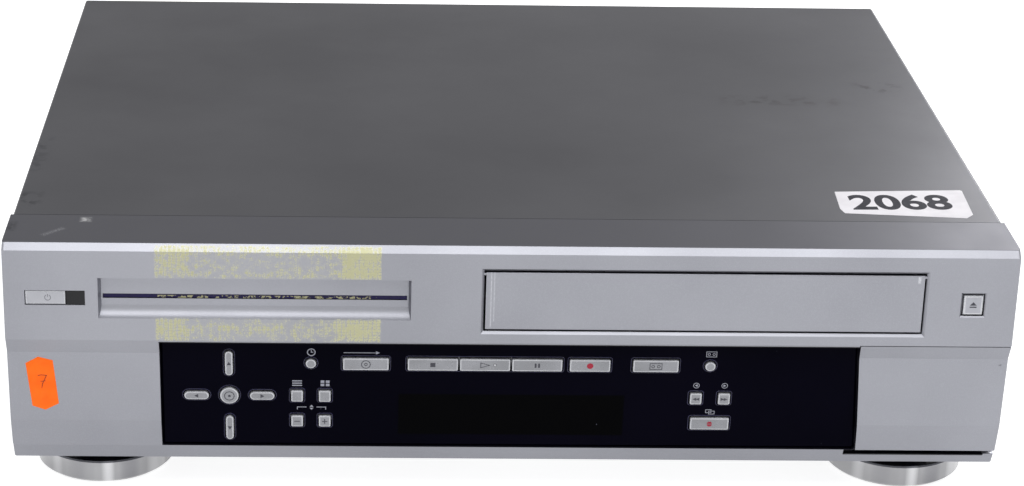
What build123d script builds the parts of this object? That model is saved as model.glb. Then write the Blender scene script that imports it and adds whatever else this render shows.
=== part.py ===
from build123d import *
import os
from math import atan2, cos, degrees, hypot, radians, sin, tan

# A tape and hard disk video recorder, made as separate pieces in millimetres.
# +Z is up, the front faces -Y and +X is to the right as seen from the front.
# The origin is on the surface that the feet stand on, under the middle of the whole recorder.
# "depth" is a distance behind the front face of the upper band.

# Overall sizes
width = 435.0
height = 124.0
body_depth = 350.0
rear_reach = 9.0
body_bottom = 17.1

# Clearances
seat_gap = 0.3
slide_gap = 0.25
shaft_gap = 0.05
bed_gap = 0.1

# Front panel profile, from the top edge down
bevel_depth = 3.1
bevel_height = 2.7
band_height = 44.1
strip_depth = 3.6
strip_height = 7.5
lower_depth = 5.9
lower_bottom = 38.8
skirt_depth = 9.3
skirt_bottom = 24.9
plinth_step = 0.8
plinth_depth = 13.8
ledge_depth = 34.4
wall = 2.8
side_wall = 3.0
corner_radius = 1.2

# Sheet metal and screws
sheet = 1.0
cover_inset = 0.8
cover_bottom = 18.6
bend_radius = 1.5
seam = 0.3
tongue_depth = 8.0
tray_sheet = 1.2
tray_wall_height = 12.0
vent_length = 26.0
vent_width = 3.0
vent_pitch = 8.0
vent_count = 7
vent_row_pitch = 41.6
vent_depth = 150.0
screw_radius = 1.5
screw_head_radius = 3.5
screw_head = 0.8
screw_length = 5.0
side_screw_height = 24.0
screw_front_depth = 110.0
screw_back_inset = 50.0
rear_screw_inset = 27.5
tab_width = 16.0
tab_height = 11.0

# Display window in the lower panel, with its rows of buttons at shares of its height
window_left_inset = 66.0
window_recess_top = 4.4
window_recess_bottom = 9.9
window_bottom = 25.3
window_top_gap = 0.9
top_row_share = 0.784
middle_row_share = 0.4786
bottom_row_share = 0.242
window_thickness = 2.5
window_radius = 1.5
window_bevel = 1.0
ledge_width = 2.0
ledge_thickness = 1.8
seam_inset_top = 66.1
seam_inset_bottom = 62.9

# Flap over the front sockets
flap_thickness = 2.4
flap_gap = 0.4
flap_axis_depth = 13.2
flap_axis_height = 27.4
flap_pin_radius = 0.8
flap_boss_radius = 1.85
flap_lug_radius = 1.7
flap_lug_width = 2.4
flap_swing = 5.3
bay_side_inset = 5.1
bay_left_margin = 3.0
bay_wall = 2.1
bay_floor = 22.1
bay_top_gap = 2.3
bay_depth = 26.0
finger_gap_left = 7.5
finger_gap_right = 6.0

# Cassette door
opening_width = 189.8
opening_right_inset = 39.8
opening_top_inset = 10.5
opening_height = 28.3
opening_chamfer = 1.1
door_thickness = 2.2
door_setback = 0.5
door_gap = 0.8
door_edge = 0.6
door_pin_radius = 0.75
door_pin_length = 1.8
door_pin_reach = 2.1
door_pivot_drop = 1.0

# Power button and remote sensor
power_left_inset = 9.2
power_top_inset = 21.0
power_tall = 6.8
power_width = 17.6
sensor_width = 8.1
power_setback = 0.5

# Cove with the disk lamp slot
cove_left_inset = 40.4
cove_gap = 31.2
cove_top_inset = 15.1
cove_height = 18.7
cove_depth = 4.0
cove_draft = 15.0
cove_hollow = 1.6
cove_backing = 2.4
lens_setback = 0.6
lens_flange = 1.2
slot_height = 2.1
slot_top_inset = 23.9
slot_end_margin = 0.6

# Eject button
eject_right_inset = 18.9
eject_top_inset = 24.6
eject_width = 8.5
eject_tall = 8.9
eject_setback = 0.3
button_rim = 0.7

# Buttons in the display window
button_proud = 1.0
button_travel = 0.8
button_lip = 0.8
button_edge = 0.3
stem_size = 3.0
cursor_x_inset = 95.7
cursor_reach_x = 14.3
cursor_reach_share = 0.3035
pill_share = 0.2272
pill_narrow = 3.5
pill_long = 10.9
pill_low = 4.1
pill_end_gap = 0.05
ok_diameter = 8.3
menu_x_inset = 125.2
square_pitch = 12.1
square_width = 5.3
square_tall = 5.7
key_radius = 0.6
dot_diameter = 4.7
disk_x_inset = 155.1
wide_key = 20.0
deck_key = 22.0
deck_key_pitch = 22.7
deck_key_height = 6.1
first_deck_key_inset = 184.2
record_x_inset = 252.6
record_width = 17.8
tape_x_inset = 281.3
mode_x_inset = 305.1
wind_x_inset = 299.8
wind_pitch = 12.4
dub_x_inset = 306.6
dub_width = 17.2

# Front boards
board_thickness = 1.6
front_board_depth = 24.5
board_low = 20.6
board_rise = 3.9
board_tab_inset = 16.0
post_radius = 1.7
post_inset = 10.0
post_margin = 2.0
boss_radius = 3.5
jack_board_depth = 35.6
switch_size = 6.0
switch_body = 3.6
plunger_radius = 1.6
plunger_length = 1.0
tube_left_inset = 219.0
tube_share = 0.3035
tube_width = 99.0
tube_tall = 20.5
tube_thickness = 8.0
tube_seal = 3.0

front_socket_height = 48.0
front_socket_pitch = 13.0
front_phono_reach = 9.0
svideo_radius = 6.0
svideo_core = 3.6
svideo_shell = 1.0
socket_body = 11.0
jack_board_tall = 24.0

# Feet
foot_radius = 31.0
foot_rim_height = 11.0
foot_depth = 51.0
foot_inset = 36.9
foot_neck_radius = 17.0
foot_rim_wall = 1.4
foot_cup_depth = 6.0
foot_edge = 1.2
pad_radius = 24.0
pad_thickness = 1.6
pad_proud = 0.8
rear_foot_radius = 14.0
rear_foot_inset = 44.0
rear_pad_radius = 9.0

# Tape deck: depths behind the front face, heights above the deck plate unless they say otherwise
cassette_thickness = 25.0
cassette_gap = 0.8
cassette_step = 0.4
cassette_rise = 40.0
holder_depth = 38.0
holder_length = 102.0
holder_travel = 32.0
holder_drop = 24.0
holder_sheet = 1.0
holder_gap = 1.3
holder_flange = 14.0
holder_pins = (60.0, 105.0)
holder_pin_rise = 54.4
carriage_low = 26.4
carriage_high = 70.4
carriage_back = 126.0
carriage_pins = (52.0, 112.0)
carriage_pin_rise = 67.4
crossbar = 8.0
deck_pin_radius = 1.5
deck_back = 262.0
deck_plate_thickness = 1.6
deck_post_radius = 4.0
deck_post_inset = 8.5
bracket_sheet = 1.2
bracket_gap = 1.0
bracket_rise = 72.4
bracket_back = 176.0
bracket_window_length = 90.0
bracket_window_tall = 30.0
reel_spacing = 92.0
reel_depth = 115.0
reel_radius = 28.0
reel_table = 4.0
reel_hub_radius = 13.0
reel_hub_rise = 14.4
reel_shaft_radius = 1.5
reel_shaft_rise = 26.4
spindle_radius = 4.4
spindle_rib = 1.4
spindle_rise = 30.4
drum_radius = 31.0
drum_depth = 222.0
drum_tilt = 6.0
drum_base_rise = 4.4
drum_base_tall = 18.0
drum_rotor_tall = 17.0
drum_pedestal_radius = 20.0
drum_axle_radius = 3.0
drum_axle = 10.0
drum_hub_radius = 12.0
drum_notch = 2.0
capstan_x = 52.0
capstan_depth = 183.0
capstan_radius = 2.0
capstan_rise = 36.4
capstan_boss_radius = 5.0
capstan_boss_rise = 6.4
flywheel_radius = 33.0
flywheel_gap = 1.7
flywheel_tall = 10.0
arm_pivot_x = 80.0
arm_pivot_depth = 190.0
arm_pivot_radius = 2.0
arm_pivot_rise = 25.4
arm_rise = 24.4
arm_sheet = 2.0
arm_width = 8.0
arm_length = 25.4
arm_rest_angle = 237.4
roller_radius = 7.0
roller_rise = 10.4
roller_tall = 13.0
roller_pin_radius = 1.8
guide_x = 34.0
guide_depth = 162.0
guide_run_x = 6.0
guide_run_depth = 46.0
guide_peg_radius = 2.0
guide_shoe_width = 14.0
guide_shoe_length = 12.0
guide_shoe_tall = 6.0
guide_post_radius = 3.0
guide_flange = 1.5
guide_rise = 36.4

# Disk drive and its ribbon
drive_width = 101.6
drive_length = 147.0
drive_thickness = 26.1
deck_to_drive = 30.6
drive_depth = 60.0
drive_bottom = 70.0
drive_corner = 3.0
drive_lid = 1.5
drive_holes = (16.0, 60.0, 117.0)
drive_hole_radius = 1.6
drive_hole_height = 6.4
leg_reach = 6.0
leg_length = 134.0
ribbon_offset = 22.2
ribbon_width = 48.0
ribbon_thickness = 1.0
ribbon_bend = 5.0
plug_width = 52.0
plug_tall = 8.0
plug_depth = 8.0
plug_proud = 4.0
plug_height = 76.0
header_gap = 25.0
header_top = 44.0

# Fan
fan_size = 60.0
fan_thickness = 15.0
fan_x_inset = 97.5
fan_height = 72.0
fan_corner = 3.0
fan_duct_radius = 28.0
fan_hole_pitch = 50.0
fan_screw_radius = 2.1
fan_motor_radius = 13.0
fan_strut = 2.5
fan_shaft_radius = 1.5
fan_shaft = 8.0
fan_rotor_depth = 10.4
fan_blade_radius = 27.0
fan_blades = 7
fan_blade_chord = 13.0
fan_blade_sheet = 1.2
fan_blade_pitch = 38.0
fan_rings = 4
fan_ring_pitch = 5.3
fan_slot_width = 3.0

# Boards on the tray
board_height = 26.0
column_margin = 50.8
column_width = 104.0
column_front = 50.0
strip_gap = 6.0
strip_back_inset = 5.0
strip_side_inset = 11.5
supply_side_inset = 9.5
supply_width = 100.0
supply_gap = 18.0
supply_back_inset = 4.0
supply_notch_x = 43.0
supply_notch = 15.0
board_gap = 4.0
post_edge = 8.0

# Parts on the boards: x, depth, width, length and height of blocks, x, depth, radius and height of cans.
# Those under the disk stand right of the board's left edge and behind its front edge
column_chips = [
    (30, 40, 28, 28, 2.2),
    (74, 38, 20, 14, 2.0),
    (28, 90, 22, 22, 2.0),
    (72, 80, 12, 34, 2.2),
    (72, 130, 30, 24, 2.2),
]
column_cans = [
    (14, 10, 4.0, 11.0),
    (90, 60, 4.0, 11.0),
    (90, 100, 5.0, 12.0),
    (20, 130, 5.0, 12.0),
]
# Those along the back are measured from the middle of the deck and of the strip
strip_chips = [
    (-106.8, -14.5, 14, 20, 2.0),
    (-22.8, -12.0, 28, 20, 2.2),
    (27.2, -12.0, 18, 12, 2.0),
    (45.2, 11.5, 24, 5, 22.0),
]
strip_cans = [
    (-112.8, 12.0, 6.0, 14.0),
    (-52.8, -14.0, 4.0, 11.0),
    (47.2, -10.0, 6.0, 14.0),
    (77.2, -14.0, 4.0, 11.0),
]
# Those of the power supply stand right of its left edge, and behind its front edge or in front of its back edge
supply_front_blocks = [
    (58, 53, 38, 34, 30.0),
    (36, 15, 44, 3, 28.0),
]
supply_back_blocks = [
    (12, 36, 8, 24, 9.0),
    (8, 64, 12, 18, 16.0),
]
supply_front_cans = [
    (18, 31, 11.0, 30.0),
    (76, 15, 5.0, 18.0),
]
supply_back_cans = [
    (74, 34, 6.0, 22.0),
    (56, 34, 6.0, 22.0),
    (32, 34, 8.0, 14.0),
]
sink_x = 93.0
sink_start = 24.0
sink_end_gap = 28.0
sink_width = 3.0
sink_tall = 30.0

# Sockets in the rear panel
inlet_inset = 27.5
inlet_width = 22.0
inlet_tall = 15.0
inlet_depth = 20.0
inlet_proud = 1.0
inlet_pitch = 8.6
inlet_lobe = 4.2
inlet_waist = 6.7
inlet_cavity = 13.0
inlet_pin = 9.0
inlet_pin_radius = 1.2
scart_offset = -72.8
scart_heights = (43.0, 69.0)
scart_width = 50.0
scart_tall = 18.0
scart_depth = 22.0
scart_cavity_width = 44.0
scart_cavity_tall = 13.0
scart_cavity_depth = 12.0
scart_slant = 4.0
scart_core_width = 37.0
scart_core_tall = 6.0
phono_offset = -4.8
phono_pitch = 18.0
phono_radius = 4.15
phono_bore = 1.6
phono_collar = 5.2
collar_proud = 1.0
phono_length = 9.0
phono_low_row = 40.0
phono_block_depth = 18.0
socket_margin = 3.0
tuner_offset = 87.2
tuner_width = 40.0
tuner_depth = 26.0
tuner_tall = 67.0
aerial_in_height = 82.0
aerial_out_height = 60.0
aerial_radius = 4.75
aerial_wall = 0.9
aerial_core = 2.2
aerial_pin = 1.2

# Places worked out from the sizes above
front_y = -(body_depth + rear_reach) / 2
panel_half = width / 2
cover_half = panel_half - cover_inset
inner_top = height - wall
tray_top = body_bottom + tray_sheet
board_top = board_height + board_thickness
rear_panel_depth = body_depth - sheet
rear_inner_depth = rear_panel_depth - sheet
band_bottom = height - band_height
strip_bottom = band_bottom - strip_height
window_top = band_bottom - window_top_gap
window_rise = window_top - window_bottom
top_row = window_bottom + top_row_share * window_rise
middle_row = window_bottom + middle_row_share * window_rise
bottom_row = window_bottom + bottom_row_share * window_rise
cursor_reach_z = cursor_reach_share * window_rise
pill_tall = pill_share * window_rise
tube_height = window_bottom + tube_share * window_rise
tube_x = -panel_half + tube_left_inset
bay_top = band_bottom - bay_top_gap
board_high = band_bottom + board_rise
board_tab_height = height - board_tab_inset
plunger_front = front_board_depth - switch_body - plunger_length

opening_right = panel_half - opening_right_inset
opening_left = opening_right - opening_width
opening_x = (opening_left + opening_right) / 2
opening_top = height - opening_top_inset
opening_bottom = opening_top - opening_height
opening_mid = (opening_bottom + opening_top) / 2
cove_left = -panel_half + cove_left_inset
cove_width = opening_left - cove_gap - cove_left
cove_x = cove_left + cove_width / 2
cove_top = height - cove_top_inset
cove_bottom = cove_top - cove_height
cove_mid = (cove_bottom + cove_top) / 2
slot_width = cove_width - 2 * (cove_depth * tan(radians(cove_draft)) + slot_end_margin)
slot_mid = height - slot_top_inset - slot_height / 2
slot_bottom = slot_mid - slot_height / 2
power_x = -panel_half + power_left_inset + power_width / 2
power_mid = height - power_top_inset - power_tall / 2
sensor_x = power_x + (power_width + sensor_width) / 2
eject_x = panel_half - eject_right_inset
eject_height = height - eject_top_inset

deck_x = opening_x
cassette_floor = opening_bottom + cassette_step
deck_plate_top = cassette_floor - cassette_rise
holder_half = opening_width / 2 + holder_sheet
carriage_inner = holder_half + holder_gap
carriage_half = carriage_inner + bracket_sheet
bracket_inner = carriage_half + bracket_gap
bracket_half = bracket_inner + bracket_sheet
holder_pin_height = deck_plate_top + holder_pin_rise
carriage_bottom = deck_plate_top + carriage_low
carriage_top = deck_plate_top + carriage_high
carriage_pin_height = deck_plate_top + carriage_pin_rise
bracket_top = deck_plate_top + bracket_rise
reel_hub_top = deck_plate_top + reel_hub_rise
flywheel_bottom = tray_top + flywheel_gap
capstan_boss_bottom = flywheel_bottom + flywheel_tall + seat_gap
capstan_boss_top = deck_plate_top + capstan_boss_rise
arm_height = deck_plate_top + arm_rise
roller_bottom = deck_plate_top + roller_rise
guide_top = deck_plate_top + guide_rise
deck_posts = [
    (deck_x + side * (bracket_half - deck_post_inset), post_depth)
    for side in (-1, 1)
    for post_depth in (holder_depth + deck_post_inset, deck_back - deck_post_inset)
]
guide_travel = hypot(guide_run_x, guide_run_depth)
drum_lean = radians(drum_tilt)

drive_x = deck_x - bracket_half - deck_to_drive - drive_width / 2
drive_back = drive_depth + drive_length
ribbon_x = drive_x + ribbon_offset
header_depth = drive_back + header_gap
fan_x = -panel_half + fan_x_inset
fan_front = rear_inner_depth - fan_thickness
foot_x = panel_half - foot_inset
rear_foot_depth = body_depth - rear_foot_inset
foot_places = [(side * foot_x, depth) for side in (-1, 1) for depth in (foot_depth, rear_foot_depth)]
rear_screw_x = panel_half - rear_screw_inset
inlet_x = -panel_half + inlet_inset
inlet_height = board_top + bed_gap + inlet_tall / 2
scart_x = deck_x + scart_offset
phono_x = deck_x + phono_offset
phono_places = [
    (phono_x + side * phono_pitch / 2, phono_low_row + row * phono_pitch) for side in (-1, 1) for row in (0, 1)
]
svideo_height = phono_low_row + 2 * phono_pitch + socket_margin
tuner_x = deck_x + tuner_offset

# Edges of the boards
column_left = drive_x - column_margin
column_right = column_left + column_width
strip_front = deck_back + strip_gap
strip_back = body_depth - strip_back_inset
strip_mid = (strip_front + strip_back) / 2
strip_right = panel_half - strip_side_inset
supply_left = -panel_half + supply_side_inset
supply_right = supply_left + supply_width
supply_front = drive_back + supply_gap
supply_back = body_depth - supply_back_inset
supply_notch_depth = supply_back - supply_notch
strip_left = supply_right + board_gap
column_back = supply_front - board_gap
main_board_outline = [
    (column_left, column_front),
    (column_right, column_front),
    (column_right, strip_front),
    (strip_right, strip_front),
    (strip_right, strip_back),
    (strip_left, strip_back),
    (strip_left, column_back),
    (column_left, column_back),
]
supply_outline = [
    (supply_left, supply_front),
    (supply_right, supply_front),
    (supply_right, supply_notch_depth),
    (supply_left + supply_notch_x, supply_notch_depth),
    (supply_left + supply_notch_x, supply_back),
    (supply_left, supply_back),
]
main_board_chips = [(column_left + x, column_front + depth, *size) for x, depth, *size in column_chips]
main_board_chips += [(deck_x + x, strip_mid + depth, *size) for x, depth, *size in strip_chips]
main_board_cans = [(column_left + x, column_front + depth, *size) for x, depth, *size in column_cans]
main_board_cans += [(deck_x + x, strip_mid + depth, *size) for x, depth, *size in strip_cans]
sink_length = supply_notch_depth - supply_front - sink_start - sink_end_gap
supply_blocks = [(supply_left + x, supply_front + depth, *size) for x, depth, *size in supply_front_blocks]
supply_blocks += [(supply_left + x, supply_back - depth, *size) for x, depth, *size in supply_back_blocks]
supply_blocks.append(
    (supply_left + sink_x, supply_front + sink_start + sink_length / 2, sink_width, sink_length, sink_tall)
)
supply_cans = [(supply_left + x, supply_front + depth, *size) for x, depth, *size in supply_front_cans]
supply_cans += [(supply_left + x, supply_back - depth, *size) for x, depth, *size in supply_back_cans]
board_posts = [
    (column_left + post_edge, column_front + post_edge),
    (column_right - post_edge, column_front + post_edge),
    (column_left + post_edge, column_back - post_edge),
    (column_right - post_edge, strip_front - 2 * post_edge),
    (strip_left + post_edge, strip_back - post_edge),
    (deck_x - deck_to_drive, strip_back - post_edge),
    (strip_right - post_edge, strip_front + post_edge),
    (strip_right - post_edge, strip_back - post_edge),
    (supply_left + post_edge, supply_front + post_edge),
    (supply_right - post_edge, supply_front + post_edge),
    (supply_right - post_edge, supply_notch_depth - post_edge),
    (supply_left + post_edge, supply_back - post_edge),
]

os.makedirs("parts", exist_ok=True)


def y_at(depth):
    """Y of a place that lies this far behind the front face."""
    return front_y + depth


def side_points(points):
    """Turn (depth, height) pairs into points of a side view."""
    return [(y_at(depth), z) for depth, z in points]


def front_plane(depth):
    """Plane that faces the front, this far behind the front face."""
    return Plane.XZ.offset(-y_at(depth))


def top_plane(z):
    """Horizontal plane whose local Y is measured behind the front face."""
    return Plane((0, front_y, z))


def finish(piece, label):
    """Name a finished piece and write it."""
    piece.part.label = label
    export_step(piece.part, f"parts/{label}.step")


# Front panel: a moulded shell with a bevel on top, an undercut and a lower half that leans back
outer_edge = [
    (bevel_depth, height),
    (0, height - bevel_height),
    (0, band_bottom),
    (strip_depth, strip_bottom),
    (lower_depth, lower_bottom),
    (skirt_depth, skirt_bottom),
    (skirt_depth + plinth_step, skirt_bottom - plinth_step / 2),
    (plinth_depth, body_bottom),
]
inner_edge = [
    (wall, inner_top),
    (wall, band_bottom),
    (strip_depth + wall, strip_bottom),
    (lower_depth + wall, lower_bottom),
    (skirt_depth + wall, skirt_bottom),
    (plinth_depth + wall, body_bottom + wall),
]


def face_depth(z):
    """Depth of the panel's outer face at a height."""
    for (start_depth, upper), (end_depth, lower) in zip(outer_edge, outer_edge[1:]):
        if lower <= z <= upper:
            return start_depth + (end_depth - start_depth) * (upper - z) / (upper - lower)
    return plinth_depth


# The window lies on one leaning plane: local X is across, local Y runs up the window
window_run = window_recess_bottom - window_recess_top
window_length = hypot(window_rise, window_run)
lean = atan2(window_run, window_rise)
window_plane = Plane(
    origin=(0, y_at(window_recess_bottom), window_bottom),
    x_dir=(1, 0, 0),
    z_dir=(0, -cos(lean), -sin(lean)),
)
press = Vector(0, cos(lean), sin(lean))
window_left = -panel_half + window_left_inset
window_right_top = panel_half - seam_inset_top
window_right_bottom = panel_half - seam_inset_bottom


def up_window(z):
    """Distance up the window for a height above the floor."""
    return (z - window_bottom) / cos(lean)


def window_depth(z):
    """Depth of the window's front at a height."""
    return window_recess_bottom - window_run * (z - window_bottom) / window_rise


def stem_rise(z):
    """How far a button's stem climbs on its way back to the switch."""
    return (plunger_front - window_depth(z)) * window_run / window_rise


def seam_x(z):
    """X of the leaning seam between the window and the flap."""
    share = (z - window_bottom) / window_rise
    return window_right_bottom + (window_right_top - window_right_bottom) * share


def window_outline(grow):
    """Corners of the window, grown or shrunk, on its own plane."""
    return [
        (window_left - grow, -grow),
        (window_right_bottom + grow, -grow),
        (window_right_top + grow, window_length + grow),
        (window_left - grow, window_length + grow),
    ]


# Buttons of the window: name, x, height, width, height of the face, corner radius, lip to each side
cursor_x = -panel_half + cursor_x_inset
menu_x = -panel_half + menu_x_inset
first_deck_x = -panel_half + first_deck_key_inset
record_x = -panel_half + record_x_inset
wind_x = -panel_half + wind_x_inset
upright_pill = (pill_narrow, pill_tall, pill_narrow / 2 - pill_end_gap)
level_pill = (pill_long, pill_low, pill_low / 2 - pill_end_gap)
square_key = (square_width, square_tall, key_radius)
narrow_lip = (deck_key_pitch - deck_key) / 2 - slide_gap / 2
window_buttons = [
    ("cursor_up_button", cursor_x, middle_row + cursor_reach_z, *upright_pill, button_lip),
    ("cursor_down_button", cursor_x, middle_row - cursor_reach_z, *upright_pill, button_lip),
    ("cursor_left_button", cursor_x - cursor_reach_x, middle_row, *level_pill, button_lip),
    ("cursor_right_button", cursor_x + cursor_reach_x, middle_row, *level_pill, button_lip),
    ("ok_button", cursor_x, middle_row, ok_diameter, ok_diameter, 0, button_lip),
    ("timer_button", menu_x + square_pitch / 2, top_row, dot_diameter, dot_diameter, 0, button_lip),
    ("menu_button", menu_x, middle_row, *square_key, button_lip),
    ("navigation_button", menu_x + square_pitch, middle_row, *square_key, button_lip),
    ("channel_down_button", menu_x, bottom_row, *square_key, button_lip),
    ("channel_up_button", menu_x + square_pitch, bottom_row, *square_key, button_lip),
    ("disk_select_button", -panel_half + disk_x_inset, top_row, wide_key, deck_key_height, key_radius, button_lip),
    ("stop_button", first_deck_x, top_row, deck_key, deck_key_height, key_radius, narrow_lip),
    ("play_button", first_deck_x + deck_key_pitch, top_row, deck_key, deck_key_height, key_radius, narrow_lip),
    ("pause_button", first_deck_x + 2 * deck_key_pitch, top_row, deck_key, deck_key_height, key_radius, narrow_lip),
    ("record_button", record_x, top_row, record_width, deck_key_height, key_radius, button_lip),
    ("tape_select_button", -panel_half + tape_x_inset, top_row, wide_key, deck_key_height, key_radius, button_lip),
    ("tape_mode_button", -panel_half + mode_x_inset, top_row, dot_diameter, dot_diameter, 0, button_lip),
    ("rewind_button", wind_x, middle_row, *square_key, button_lip),
    ("fast_forward_button", wind_x + wind_pitch, middle_row, *square_key, button_lip),
    ("dub_button", -panel_half + dub_x_inset, bottom_row, dub_width, deck_key_height, key_radius, button_lip),
]


def button_outline(wide, tall, radius, grow=0.0, mode=Mode.ADD):
    """Face of a button on the current sketch: a circle where the radius is 0."""
    if radius == 0:
        Circle(wide / 2 + grow, mode=mode)
    else:
        RectangleRounded(wide + 2 * grow, tall + 2 * grow, radius + grow, mode=mode)


# Bay behind the flap
bay_right = panel_half - bay_side_inset
bay_left = window_right_bottom + bay_left_margin
finger_right = panel_half - finger_gap_right
finger_left = bay_left - finger_gap_left
flap_top = band_bottom - flap_gap
pocket_depth = flap_thickness + seat_gap

# Cassette door pivot, in the middle of the door's thickness
door_axis_depth = door_setback + door_thickness / 2
door_top = opening_top - door_gap
door_axis_height = door_top - door_pivot_drop

bay_x = (bay_left + bay_right) / 2
front_phono_x = [bay_x + (step - 1.5) * front_socket_pitch for step in range(3)]
front_svideo_x = bay_x + 1.5 * front_socket_pitch

# The cove: an upright back above the slot and a hollow curve below it, with ends that lean in
with BuildPart() as cove_space:
    with BuildSketch(front_plane(0)):
        with Locations((cove_x, cove_mid)):
            Rectangle(cove_width, cove_top - cove_bottom)
    extrude(amount=-cove_depth, taper=cove_draft)
    with BuildSketch(Plane.YZ.offset(cove_x - cove_width / 2)):
        with BuildLine():
            Polyline(
                *side_points(
                    [(0, cove_bottom), (0, cove_top), (cove_depth, cove_top), (cove_depth, slot_bottom)]
                )
            )
            SagittaArc((y_at(cove_depth), slot_bottom), (y_at(0), cove_bottom), cove_hollow)
        make_face()
    extrude(amount=cove_width, mode=Mode.INTERSECT)

# Space that the flap closes, cut to the leaning seam
with BuildPart() as flap_space:
    pocket_points = [
        (-wall, flap_top + flap_gap),
        (face_depth(flap_top) + pocket_depth, flap_top + flap_gap),
        (strip_depth + pocket_depth, strip_bottom),
        (lower_depth + pocket_depth, lower_bottom),
        (skirt_depth + pocket_depth, skirt_bottom - seat_gap / 3),
        (-wall, skirt_bottom - seat_gap / 3),
    ]
    with BuildSketch(Plane.YZ.offset(window_right_top - wall)):
        with BuildLine():
            Polyline(*side_points(pocket_points), close=True)
        make_face()
    extrude(amount=seam_inset_top + 2 * wall)
    with BuildSketch(front_plane(-2 * wall)):
        Polygon(
            (seam_x(bay_floor), bay_floor),
            (width, bay_floor),
            (width, height),
            (seam_x(height), height),
            align=None,
        )
    extrude(amount=-bay_depth, mode=Mode.INTERSECT)

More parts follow.
